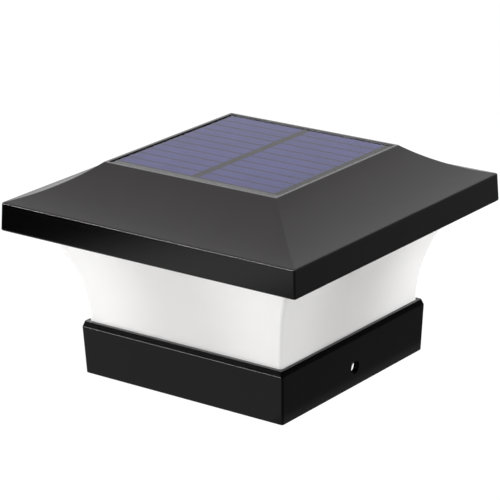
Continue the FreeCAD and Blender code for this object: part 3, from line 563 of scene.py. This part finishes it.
# %% The shade's finish
def milk_finish():
    """Milky plastic with painted shade: its colour darkens from the corners towards the middle of each side."""

    # painted shade: the colour darkens from the corners to the middle of each side
    def painted_shade_middles(tree, colour):
        sides = add_node(tree, "ShaderNodeVectorMath", {0: object_spot(tree)}, operation="ABSOLUTE").outputs[0]
        axes = split(tree, sides)
        along = maths(tree, "MINIMUM", axes["X"], axes["Y"])
        return tinted(tree, colour, ramp(tree, along, 5 * MM, 48 * MM, 0.79, interpolation_type="SMOOTHSTEP"))

    depth = {"Subsurface Weight": 0.35, "Subsurface Radius": (1.0, 1.0, 1.0), "Subsurface Scale": 0.004}
    milk = moulded("shade_milk", (0.88, 0.87, 0.865), 0.4, grain=900.0, mottle=0.02, fixed=depth)
    return recolour(milk, painted_shade_middles)


SHADE_WHITE = milk_finish()

# %% The shade's shell
HALF_FOOT, FOOT, FOOT_OPENING, FOOT_TOP = 52.2, 24.5, 40.4, 26.5
HALF_COLLAR, HALF_FLANGE, FLANGE_BOTTOM, FLANGE_TOP = 67.1, 70.2, 72.7, 74.2
SHADE_WALL, SHADE_STEPS, SHADE_CORNER = 2, 28, 1.6
FOOT_ROUND, FLANGE_ROUND = 0.3, 0.2
SCREW_PLACE, FOOT_BOSS_RADIUS, FOOT_BOSS_TOP = 45.1, 3.14, 33.0
flare, reveal = HALF_COLLAR - HALF_FOOT, RIM_BOTTOM - FOOT
flare_radius = (flare**2 + reveal**2) / (2 * flare)
flare_centre = (HALF_FOOT + flare_radius, FOOT)
inner_radius = flare_radius + SHADE_WALL


def shade_inside(level):
    return flare_centre[0] - math.sqrt(inner_radius**2 - (level - FOOT) ** 2)


collar = shade_inside(RIM_BOTTOM)
outside = arc(flare_centre, flare_radius, (HALF_FOOT, FOOT), (HALF_COLLAR, RIM_BOTTOM), SHADE_STEPS)
inner_ends = (collar, RIM_BOTTOM), (shade_inside(FOOT_TOP), FOOT_TOP)
inside = arc(flare_centre, inner_radius, *inner_ends, SHADE_STEPS)
shade_section = eased(
    [(FOOT_OPENING, FOOT, FOOT_ROUND)]
    + outside
    + [(HALF_COLLAR, FLANGE_BOTTOM, 0), (HALF_FLANGE, FLANGE_BOTTOM, FLANGE_ROUND)]
    + [(HALF_FLANGE, FLANGE_TOP, FLANGE_ROUND), (collar, FLANGE_TOP, 0)]
    + inside
    + [(FOOT_OPENING, FOOT_TOP, FOOT_ROUND)]
)
shade = shell("milk_shade", shade_section + shade_section[:1], SHADE_CORNER / HALF_FOOT, SHADE_WHITE)
add_bosses(shade, SCREW_PLACE, FOOT_BOSS_RADIUS, FOOT_TOP - 0.5, lambda half: FOOT_BOSS_TOP, SHADE_WHITE)
settle_normals(shade)
place(shade, "shade")


# %% [markdown]
# ## The skirt
#
# The skirt leans out a little towards a bevelled shoulder and has a screw hole in two sides. The holes and the screw
# pockets under its flange are drilled with exact booleans, because their crisp edge is part of how the real piece
# looks. It takes the rim's darker copy of the black, which is painted shade, and the ledge at the shade's foot is
# glossier along the front, where the photograph has a pale line.

# %% The skirt
HALF_SKIRT, SKIRT_ROUND, SKIRT_CORNER = 53.8, 0.4, 1.0 / 54
SHOULDER, SHOULDER_ROUND = (54.75, 21.9), 1.8
HALF_LEDGE, LEDGE_ROUND = 53.85, 0.2
HALF_OPENING, HALF_SOCKET, SOCKET_TOP, INNER_ROUND = 40, 51.3, 20.9, 0.3
POST_HOLE, POST_HOLE_LEVEL, POST_HOLE_REACH = 3, 9, 60
POCKET, POCKET_BOTTOM, POCKET_TOP, PILOT, PILOT_TOP = 3, 20, 23, 1.6, 25


def cut_away(piece, cutters):
    """Cuts the cutters out of a piece and removes them."""
    for cutter in cutters:
        step = piece.modifiers.new("cut", "BOOLEAN")
        step.operation, step.solver, step.object = "DIFFERENCE", "EXACT", cutter
    bake(piece)
    for cutter in cutters:
        bpy.data.objects.remove(cutter)


def rod(radius, low, high):
    """The section of a plain round rod."""
    return [(0, low), (radius, low), (radius, high), (0, high)]


skirt_section = eased(
    [(HALF_SKIRT, 0, SKIRT_ROUND), (*SHOULDER, SHOULDER_ROUND), (HALF_LEDGE, FOOT, LEDGE_ROUND)]
    + [(HALF_OPENING, FOOT, INNER_ROUND), (HALF_OPENING, SOCKET_TOP, INNER_ROUND)]
    + [(HALF_SOCKET, SOCKET_TOP, 0), (HALF_SOCKET, 0, INNER_ROUND)],
    steps=6,
)
skirt = shell("post_skirt", skirt_section + skirt_section[:1], SKIRT_CORNER, SATIN_BLACK)
bore = shell("bore", rod(POST_HOLE, -POST_HOLE_REACH, POST_HOLE_REACH), 1.0, SATIN_BLACK, steps=12)
across = Matrix.Rotation(math.pi / 2, 4, "Y")
bore.data.transform(Matrix.Translation((0, 0, POST_HOLE_LEVEL * MM)) @ across)
drills = [bore]
drill = rod(POCKET, POCKET_BOTTOM, POCKET_TOP)[:3] + rod(PILOT, POCKET_TOP, PILOT_TOP)[1:]
for x in (-SCREW_PLACE, SCREW_PLACE):
    for y in (-SCREW_PLACE, SCREW_PLACE):
        drills.append(shell("drill", drill, 1.0, SATIN_BLACK, at=(x, y)))
settle_normals(skirt)
cut_away(skirt, drills)
settle_normals(skirt)
# painted shade: the skirt below its ledge takes the darker copy of the black
refinish(skirt, BLACK_PAINTED_SHADE, -1, FOOT + 0.1)
refinish(skirt, GLOSS_BLACK, FOOT - 0.2, FOOT + 0.1, lambda at: at.y < -abs(at.x))
place(skirt, "skirt")

# %% [markdown]
# ## The solar panel
#
# Twenty-two dark blue strips of silicon lie in two columns on a black board, under a poured clear resin. The blue in
# the photograph is weak because at this low angle the resin mirrors the pale surroundings, so the strips themselves
# are a deep blue and the gloss is left to the resin's own reflection. Fine silver fingers cross each strip.

# %% The silicon's finish
CELL_ROWS, CELL_GAP, COLUMN_GAP = 11, 0.4, 4.0
CELL_BLUES = ((0.3, (0.03, 0.034, 0.18, 1)), (0.7, (0.05, 0.046, 0.235, 1)))
FINGERS_PER_METRE, FINGER_SILVER = 625.0, (0.3, 0.31, 0.36, 1)
SAWN_START, SAWN_END, SAWN_BLACK = 3.1, 3.4, (0.01, 0.01, 0.02, 1)
CELLS_LOW, CELLS_HIGH = in_mm(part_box("solar_cells"))
CELLS_MIDDLE = (CELLS_LOW[1] + CELLS_HIGH[1]) / 2
PITCH = (CELLS_HIGH[1] - CELLS_LOW[1] + CELL_GAP) / CELL_ROWS
print("cell pitch, mm:", round(PITCH, 2))


def silicon_finish():
    """Clouded blue, with silver fingers across each strip and dark sawn edges along it."""
    finish, tree, shader = new_finish("silicon_blue", {"Roughness": 0.35, "Specular IOR Level": 0.0})
    spot = object_spot(tree)
    axes = split(tree, spot)
    clouds = add_node(tree, "ShaderNodeValToRGB", {0: noise(tree, spot, 60.0, 5.0)})
    for stop, (share, blue) in zip(clouds.color_ramp.elements, CELL_BLUES):
        stop.position, stop.color = share, blue
    saw = maths(tree, "PINGPONG", maths(tree, "MULTIPLY", axes["X"], FINGERS_PER_METRE), 0.5)
    lined = blend(tree, ramp(tree, saw, 0.05, 0.03, end=0.3), clouds.outputs[0], FINGER_SILVER)
    first = (CELLS_LOW[1] - CELL_GAP / 2) * MM
    across = maths(tree, "FLOORED_MODULO", maths(tree, "SUBTRACT", axes["Y"], first), PITCH * MM)
    far = maths(tree, "ABSOLUTE", maths(tree, "SUBTRACT", across, PITCH / 2 * MM))
    sawn = ramp(tree, far, SAWN_START * MM, SAWN_END * MM, end=0.85)
    feed(tree, shader, {"Base Color": blend(tree, sawn, lined, SAWN_BLACK)})
    return finish


SILICON = silicon_finish()

# %% The board's and the resin's finishes
BARE_START, BARE_END = 41.9, 42.3


def panel_back_finish():
    """Black board whose two ends, beyond the cells, are paler with tinned tracks."""

    def pale_ends(tree, colour):
        along = split(tree, object_spot(tree))["Y"]
        far = maths(tree, "ABSOLUTE", maths(tree, "SUBTRACT", along, CELLS_MIDDLE * MM))
        return blend(tree, ramp(tree, far, BARE_START * MM, BARE_END * MM), colour, (0.11, 0.11, 0.115, 1))

    matt = {"Specular IOR Level": 0.0}
    return recolour(moulded("panel_board_black", (0.01, 0.01, 0.016), 0.5, grain=3000.0, fixed=matt), pale_ends)


def resin_finish():
    clear = {"Base Color": (0.97, 0.97, 0.98, 1), "Transmission Weight": 1.0, "IOR": 1.245}
    finish, tree, shader = new_finish("clear_resin", clear)
    ripple = noise(tree, object_spot(tree), 90.0, 2.0)
    rough = ramp(tree, ripple, 0.0, 1.0, 0.015, 0.05)
    feed(tree, shader, {"Roughness": rough, "Normal": bump(tree, ripple, 0.00002, 0.3)})
    return finish


PANEL_BACK = panel_back_finish()
CLEAR_RESIN = resin_finish()

# %% Cells and resin
RESIN_INSET, RESIN_SINK, RESIN_ROUND, RESIN_CORNER = 0.05, 0.08, 0.3, 0.5
low, high = CELLS_LOW, CELLS_HIGH
wide, deep = (high[0] - low[0] - COLUMN_GAP) / 2, PITCH - CELL_GAP
left = (low[0] + high[0] - wide) / 2
corners = [(left + (x + 1) / 2 * wide, y / 2 * deep) for x, y in SQUARE]
levels = (low[2], high[2])
strip = new_piece("strip", [(x * MM, y * MM, z * MM) for z in levels for x, y in corners], [], BOX_FACES)
reach = (wide + COLUMN_GAP, (CELL_ROWS - 1) * PITCH)
cells = set_in_rows("silicon_strips", strip, 2, CELL_ROWS, *reach, CELLS_MIDDLE, SILICON)
place(cells, "solar_cells")
low, high = in_mm(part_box("panel_resin"))
edge, bottom = high[0] - RESIN_INSET, low[2] - RESIN_SINK
resin_section = eased([(0, high[2], 0), (edge, high[2], RESIN_ROUND), (edge, bottom, 0), (0, bottom, 0)])
resin = shell("poured_resin", resin_section, RESIN_CORNER / edge, CLEAR_RESIN)
settle_normals(resin)
place(resin, "panel_resin")


# %% [markdown]
# ## Screws
#
# Sixteen small pan-head screws hold the light together, all driven from below. One screw is turned from its section,
# a cross is cut into its head, and the rows tree sets it out four times. The zinc plate is bright but uneven, so its
# roughness and tone wander with a fine noise.

# %% The metal group
def metal_group():
    tree, given, made = new_tree(
        "tumbled_metal",
        "ShaderNodeTree",
        [("Colour", "Color", (0.6, 0.6, 0.6, 1)), ("Roughness", "Float", 0.3), ("Scale", "Float", 1800.0)],
        [("Colour", "Color"), ("Roughness", "Float"), ("Height", "Float")],
    )
    scuff = noise(tree, object_spot(tree), given["Scale"], 6.0)
    colour = tinted(tree, given["Colour"], ramp(tree, scuff, 0.0, 1.0, 0.75, 1.15))
    swing = maths(tree, "MULTIPLY_ADD", scuff, 0.3, -0.15)
    rough = maths(tree, "ADD", given["Roughness"], swing, use_clamp=True)
    feed(tree, made, {"Colour": colour, "Roughness": rough, "Height": scuff})
    return tree


METAL = metal_group()


def metal(name, colour, roughness):
    finish, tree, shader = new_finish(name, {"Metallic": 1.0})
    values = {"Colour": (*colour, 1), "Roughness": roughness}
    look = add_node(tree, "ShaderNodeGroup", values, node_tree=METAL).outputs
    feed(tree, shader, {"Base Color": look["Colour"], "Roughness": look["Roughness"]})
    feed(tree, shader, {"Normal": bump(tree, look["Height"], 0.00002, 0.3)})
    return finish


SCREW_ZINC = metal("screw_zinc", (0.62, 0.61, 0.58), 0.32)
print("metal group:", len(METAL.nodes), "nodes")

# %% Screws
HEAD_HEIGHT, HEAD_FACE, HEAD_CROWN = 0.33, 0.6, 0.6
CROSS_WIDTH, CROSS_DEPTH, CROSS_TAPER = 0.55, 0.7, 0.55
TIP = 1.0


def cross_wedges(low, high, wide):
    """Two crossing wedges, made one after the other, that leave a driver's cross in a head."""
    slim = wide / 5
    for x, y in ((wide, slim), (slim, wide)):
        ends = ((low, 1.0), (high, CROSS_TAPER))
        points = [(x * s * a * MM, y * s * b * MM, level * MM) for level, s in ends for a, b in SQUARE]
        yield new_piece("cross", points, [], BOX_FACES)


def screw_set(name, node, core, head):
    """Four screws whose heads face down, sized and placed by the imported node's box."""
    low, high = in_mm(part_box(node))
    tall = head * HEAD_HEIGHT
    face, seat = low[2], low[2] + tall
    section = eased(
        [(0, face, 0), (head * HEAD_FACE, face, 0.5), (head, face + tall * HEAD_CROWN, 0.3), (head, seat, 0)]
        + [(core, seat, 0), (core, high[2] - TIP, 0), (0, high[2], 0)]
    )
    screw = shell("screw", section, 1.0, SCREW_ZINC, steps=5)
    settle_normals(screw)
    for wedge in cross_wedges(face - 0.5, face + tall * CROSS_DEPTH, head * CROSS_WIDTH):
        cut_away(screw, [wedge])
    settle_normals(screw)
    width, depth = high[0] - low[0] - 2 * head, high[1] - low[1] - 2 * head
    piece = set_in_rows(name, screw, 2, 2, width, depth, (low[1] + high[1]) / 2, SCREW_ZINC)
    place(piece, node)


screw_set("zinc_soffit_screws", "soffit_screws", 1.2, 2.7)
screw_set("zinc_plate_screws", "lamp_plate_screws", 1.2, 2.7)
screw_set("zinc_skirt_screws", "skirt_screws", 1.2, 2.7)
screw_set("zinc_board_screws", "board_screws", 1.0, 1.9)

# %% [markdown]
# ## Mouldings seen from below
#
# Under the roof are the black frame that closes the eaves, the white lamp plate, the battery door and the switch.
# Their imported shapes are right, but their edges are mathematically sharp and would never catch the light. A merged
# copy with a slim bevel keeps the shape and softens the edges.

# %% Copies with eased edges
WHITE_PLASTIC = moulded("works_white", (0.78, 0.78, 0.76), 0.38, grain=2600.0, mottle=0.03)
SOFFIT_BLACK = moulded("soffit_black", (0.007, 0.0065, 0.007), 0.42, mottle=0.1)
SWITCH_GREY = moulded("switch_grey", (0.05, 0.05, 0.052), 0.45)
FLAT, CORNER = math.radians(0.5), math.radians(40)


def eased_copy(name, node, width, finish):
    """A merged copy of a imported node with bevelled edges, which stands for it."""
    piece = new_piece(name)
    piece.data = frame["nodes"][node].data.copy()
    work = bmesh.new()
    work.from_mesh(piece.data)
    bmesh.ops.remove_doubles(work, verts=work.verts, dist=WELD)
    bmesh.ops.dissolve_limit(work, angle_limit=FLAT, verts=work.verts, edges=work.edges)
    for edge in work.edges:
        edge.smooth = True
    work.to_mesh(piece.data)
    work.free()
    piece.data.materials.clear()
    piece.data.materials.append(finish)
    step = piece.modifiers.new("eased_edges", "BEVEL")
    step.width, step.segments, step.limit_method, step.angle_limit = width * MM, 2, "ANGLE", CORNER
    bake(piece)
    settle_normals(piece)
    place(piece, node)


eased_copy("eaves_frame", "soffit_plate", 0.25, SOFFIT_BLACK)
eased_copy("white_lamp_plate", "lamp_plate", 0.2, WHITE_PLASTIC)
eased_copy("white_battery_door", "battery_door", 0.2, WHITE_PLASTIC)
eased_copy("grey_switch", "switch_body", 0.25, SWITCH_GREY)

# %% [markdown]
# ## The light chips and the button
#
# Each light chip is a white package with a round well of yellow phosphor. The button is a red cap with a dished face,
# turned from its section like the screws, and it rides on the moving button body.

# %% Light chips
CHIP_LENGTH, CHIP_WIDTH, CHIP_CORNER = 3.5, 2.8, 0.15
CHIP_COLUMNS, CHIP_ROWS = 6, 2
WELL_RIM, WELL_HALF, WELL_DEPTH = 1.1, 1.05, 0.06
PACKAGE_WHITE = moulded("package_white", (0.82, 0.82, 0.8), 0.4, grain=6000.0)
PHOSPHOR = moulded("phosphor_yellow", (0.78, 0.55, 0.08), 0.25, grain=9000.0, mottle=0.2)
low, high = in_mm(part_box("led_chips"))
face, foot, half = low[2], high[2], CHIP_WIDTH / 2
package_section = eased(
    [(0, face + 0.05, 0), (WELL_RIM, face, 0.05), (half, face, 0.1), (half, foot, 0), (0, foot, 0)]
)
package = shell("package", package_section, CHIP_CORNER, PACKAGE_WHITE, steps=2)
package.data.transform(Matrix.Diagonal((CHIP_LENGTH / CHIP_WIDTH, 1, 1, 1)))
settle_normals(package)
reach = (high[0] - low[0] - CHIP_LENGTH, high[1] - low[1] - CHIP_WIDTH)
rows = (CHIP_COLUMNS, CHIP_ROWS, *reach, (low[1] + high[1]) / 2)
packages = set_in_rows("chip_packages", package, *rows, PACKAGE_WHITE)
place(packages, "led_chips")
well_floor = face + WELL_DEPTH
well_section = [(0, face), (0.95, face + 0.02), (WELL_HALF, well_floor), (0, well_floor)]
well = shell("well", well_section, 1.0, PHOSPHOR, steps=4)
settle_normals(well)
wells = set_in_rows("chip_phosphor", well, *rows, PHOSPHOR)
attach(wells, "lamp")

# %% Button
BUTTON_RED = moulded("button_red", (0.42, 0.012, 0.01), 0.35, grain=2600.0)
BUTTON_PLACE, CAP_HALF, CAP_THICKNESS, STEM_HALF = (0, -6), 5.0, 2.4, 3.0
low, high = in_mm(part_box("power_button"))
face, top = low[2], high[2]
back = face + CAP_THICKNESS
dish = [(0, face + 0.3, 0), (2.6, face + 0.15, 1.0), (3.6, face, 0.4)]
cap = [(CAP_HALF, face, 0.8), (CAP_HALF, back, 0.2)]
stem = [(STEM_HALF, back, 0), (STEM_HALF, top, 0), (0, top, 0)]
button = shell("red_button", eased(dish + cap + stem), 1.0, BUTTON_RED, steps=10, at=BUTTON_PLACE)
settle_normals(button)
place(button, "power_button")


# %% [markdown]
# ## Finishes for the imported pieces that stay
#
# The works above the lamp plate have the right shapes already: board, chips, battery, contacts, wires, seals. They
# only need finishes of their own, so each imported object gets a procedural material in its slot.

# %% Finishes for board and cell
TRACKS_PER_METRE, TRACK_COLOUR = 210.0, (0.7, 0.71, 0.66, 1)
BAND_START, BAND_END, BAND_COLOUR = 14, 14.2, (0.7, 0.7, 0.68, 1)


def board_finish():
    """White solder mask, a little uneven, with faint copper tracks that run along the board under it."""

    def tracks(tree, colour):
        along = split(tree, object_spot(tree))["Y"]
        saw = maths(tree, "PINGPONG", maths(tree, "MULTIPLY", along, TRACKS_PER_METRE), 0.5)
        return blend(tree, ramp(tree, saw, 0.09, 0.07), colour, TRACK_COLOUR)

    return recolour(moulded("board_mask_white", (0.79, 0.79, 0.77), 0.32, grain=1800.0, mottle=0.03), tracks)


def wrap_finish():
    """A shrink-wrapped cell: green sleeve with a pale band at one end."""

    def band(tree, colour):
        along = split(tree, object_spot(tree))["X"]
        return blend(tree, ramp(tree, along, BAND_START * MM, BAND_END * MM), colour, BAND_COLOUR)

    gloss = {"Coat Weight": 0.4}
    return recolour(moulded("cell_sleeve", (0.02, 0.22, 0.06), 0.3, grain=1200.0, mottle=0.16, fixed=gloss), band)


# %% Finishes for all the works
CONTACT = metal("contact_nickel", (0.7, 0.67, 0.6), 0.25)
LEAD_RED = moulded("lead_red", (0.5, 0.015, 0.012), 0.4, grain=5000.0)
LEAD_BLACK = moulded("lead_black", (0.012, 0.012, 0.013), 0.4, grain=5000.0)
STAYING = {
    "panel_adhesive": moulded("foam_grey", (0.12, 0.12, 0.12), 0.9, grain=1500.0, mottle=0.3, depth=0.0002),
    "shade_seal": moulded("seal_grey", (0.08, 0.08, 0.085), 0.7),
    "lead_seal": moulded("sealant_white", (0.7, 0.7, 0.68), 0.5),
    "led_board": board_finish(),
    "driver_chip": moulded("chip_black", (0.015, 0.015, 0.016), 0.6, grain=5000.0),
    "inductor": moulded("ferrite_grey", (0.06, 0.058, 0.055), 0.75, grain=4000.0, mottle=0.2),
    "capacitor": metal("can_aluminium", (0.75, 0.75, 0.76), 0.28),
    "small_parts": moulded("ceramic_tan", (0.35, 0.25, 0.16), 0.45, grain=7000.0),
    "battery_holder": WHITE_PLASTIC,
    "battery_cell": wrap_finish(),
    "battery_contact_positive": CONTACT,
    "battery_contact_negative": CONTACT,
    "door_hinge_pin": CONTACT,
    "battery_lead_red": LEAD_RED,
    "battery_lead_black": LEAD_BLACK,
    "panel_lead_red": LEAD_RED,
    "panel_lead_black": LEAD_BLACK,
    "panel_board": PANEL_BACK,
}
for node, finish in STAYING.items():
    frame["nodes"][node].material_slots[0].material = finish
print("finishes on packed nodes:", len(STAYING))


# %% [markdown]
# ## Floor and light
#
# The photograph is cut out on white. A pale sheet carries the object's shadow, and it glows white for the camera
# alone, with no extra light on the object. What the gloss of rim and skirt mirrors is set apart from that: a lit
# patch of sheet ahead of the front side, fading to its ends as in the photograph, and a dark card beside the right
# side. A square window where the post would come through lets light in from below, and the sheet can be looked
# through there.

# %% Tools for light
WHITE = (1, 1, 1, 1)


def rays_and_seen(tree):
    """The kinds of ray, and whether the camera looks at the spot, straight or through the clear resin."""
    rays = add_node(tree, "ShaderNodeLightPath").outputs
    return rays, maths(tree, "MAXIMUM", rays["Is Camera Ray"], rays["Is Transmission Ray"])


def glow(tree, kind, strength):
    return add_node(tree, kind, {"Color": WHITE, "Strength": strength}).outputs[0]


def diffuse(tree, colour):
    return add_node(tree, "ShaderNodeBsdfDiffuse", {"Color": colour}).outputs[0]


def either(tree, share, first, second):
    """One shader or another, or a mix of both."""
    return add_node(tree, "ShaderNodeMixShader", {0: share, 1: first, 2: second}).outputs[0]


# %% Floor
def lit_patch(tree, axes):
    """How bright the sheet looks in a mirror: a patch ahead of the front side, a dark card beside the right."""
    come = ramp(tree, axes["X"], -0.215, -0.15, end=1.35)
    go = ramp(tree, axes["X"], -0.088, -0.066, 1.0, 0.3)
    near = ramp(tree, axes["Y"], -0.2, -0.1)
    ahead = add_node(tree, "ShaderNodeMix", {0: near, 2: maths(tree, "MULTIPLY", come, go), 3: 0.65}).outputs[0]
    right = ramp(tree, axes["X"], 0.045, 0.06)
    beside = ramp(tree, axes["X"], 0.1, 0.2, 0.14, 0.26)
    return add_node(tree, "ShaderNodeMix", {0: right, 2: ahead, 3: beside}).outputs[0]


def white_sheet_finish():
    finish = bpy.data.materials.new("white_sheet")
    finish.use_nodes = True
    tree = finish.node_tree
    tree.nodes.clear()
    rays, seen = rays_and_seen(tree)
    spot = object_spot(tree)
    away = add_node(tree, "ShaderNodeVectorMath", {0: spot, 1: (0.11, 0, 0)}, operation="DISTANCE").outputs["Value"]
    paper = diffuse(tree, ramp(tree, away, 0.05, 0.14, 0.12, 0.8))
    thin, light = diffuse(tree, (0.12, 0.12, 0.12, 1)), glow(tree, "ShaderNodeEmission", 0.97)
    white = add_node(tree, "ShaderNodeAddShader", {0: thin, 1: light}).outputs[0]
    mirrored = glow(tree, "ShaderNodeEmission", lit_patch(tree, split(tree, spot)))
    front = either(tree, seen, either(tree, rays["Is Glossy Ray"], paper, mirrored), white)
    behind = add_node(tree, "ShaderNodeNewGeometry").outputs["Backfacing"]
    clear = add_node(tree, "ShaderNodeBsdfTransparent").outputs[0]
    add_node(tree, "ShaderNodeOutputMaterial", {"Surface": either(tree, behind, front, clear)})
    return finish


REACH, WINDOW = 4.0, 0.0513
corners = [(x * r, y * r, 0) for r in (WINDOW, REACH) for x, y in SQUARE]
floor = new_piece("pale_floor", corners, [], [(i, i + 4, (i + 1) % 4 + 4, (i + 1) % 4) for i in range(4)])
floor.data.materials.append(white_sheet_finish())
print("floor normal:", floor.data.polygons[0].normal[:])


# %% [markdown]
# Soft light comes from all round and from under the window. A wide low lamp stands far off at the front left and a
# square one hangs above. Four small lamps, not mirrored, light the shade: one evenly from its right side, and three
# near ones that brighten it towards its corners as in the photograph. The sky is white where it is seen, and for
# reflections behind and above; in front it is a dark room.

# %% World
def soft_room():
    world = bpy.data.worlds.new("soft_room")
    world.use_nodes = True
    sky = world.node_tree
    sky.nodes.clear()
    rays, seen = rays_and_seen(sky)
    towards = object_spot(sky)
    back_left = {0: towards, 1: (-0.6, 0.8, 0)}
    along = add_node(sky, "ShaderNodeVectorMath", back_left, operation="DOT_PRODUCT").outputs["Value"]
    height = split(sky, towards)["Z"]
    pale = maths(sky, "MAXIMUM", ramp(sky, along, 0.35, 0.6), ramp(sky, height, 0.56, 0.76))
    mirror = glow(sky, "ShaderNodeBackground", ramp(sky, pale, 0.0, 1.0, 0.04, 1.0))
    room = glow(sky, "ShaderNodeBackground", ramp(sky, height, 0.0, -0.1, 0.19, 1.2))
    unseen = either(sky, rays["Is Glossy Ray"], room, mirror)
    white = glow(sky, "ShaderNodeBackground", 1.0)
    add_node(sky, "ShaderNodeOutputWorld", {"Surface": either(sky, seen, unseen, white)})
    return world


bpy.context.scene.world = soft_room()

# %% Lamps
AIM = Vector((0, 0, 0.05))


def soft_lamp(name, spot, width, tall, watts, mirrored=True):
    lamp = bpy.data.objects.new(name, bpy.data.lights.new(name, "AREA"))
    lamp.data.shape, lamp.data.size, lamp.data.size_y, lamp.data.energy = "RECTANGLE", width, tall, watts
    lamp.visible_glossy = mirrored
    lamp.location = spot
    lamp.rotation_euler = (AIM - Vector(spot)).to_track_quat("-Z", "Y").to_euler()
    bpy.context.scene.collection.objects.link(lamp)
    print(name, watts, "W")


soft_lamp("front_left_lamp", (-1.08, -1.55, 0.08), 0.6, 0.12, 7.0)
soft_lamp("top_lamp", (0.1, -0.35, 1.6), 1.2, 1.2, 8.0)
soft_lamp("front_lamp", (0.14, -0.25, 0.06), 0.1, 0.06, 0.125, mirrored=False)
soft_lamp("left_lamp", (-0.34, -0.36, 0.08), 0.2, 0.2, 1.35, mirrored=False)
soft_lamp("right_lamp", (0.2, 0.2, 0.06), 0.1, 0.1, 0.36, mirrored=False)
soft_lamp("side_lamp", (0.9, 0.0, 0.12), 0.3, 0.3, 2.7, mirrored=False)

# %% [markdown]
# ## The camera
#
# The camera was worked out from the photograph's own lines: the corners of roof, panel, shade and skirt fix where it
# stood and how long its lens was. It looks down at about nineteen degrees, with the corner of the roof turned to it.

# %% Camera
CAMERA_SPOT, LENS, SENSOR = (0.64522, -0.86895, 0.42702), 186.5, 36.0
camera = bpy.data.objects.new("photo_camera", bpy.data.cameras.new("photo_camera"))
camera.data.lens, camera.data.sensor_width = LENS, SENSOR
right = Vector((0.8047, 0.59352, -0.01372))
up = Vector((-0.18364, 0.27082, 0.94495))
back = right.cross(up)
camera.matrix_world = Matrix.Translation(CAMERA_SPOT) @ Matrix((right, up, back)).transposed().to_4x4()
bpy.context.scene.collection.objects.link(camera)
bpy.context.scene.camera = camera
bpy.context.scene.view_settings.view_transform = "Standard"
print("camera looks along", [round(-c, 3) for c in back])

# %% [markdown]
# ## Checking and finishing
#
# The dressed model must stay inside the imported model's box; the script ends by bringing the view layer up to date.

# %% Finish
bpy.context.view_layer.update()
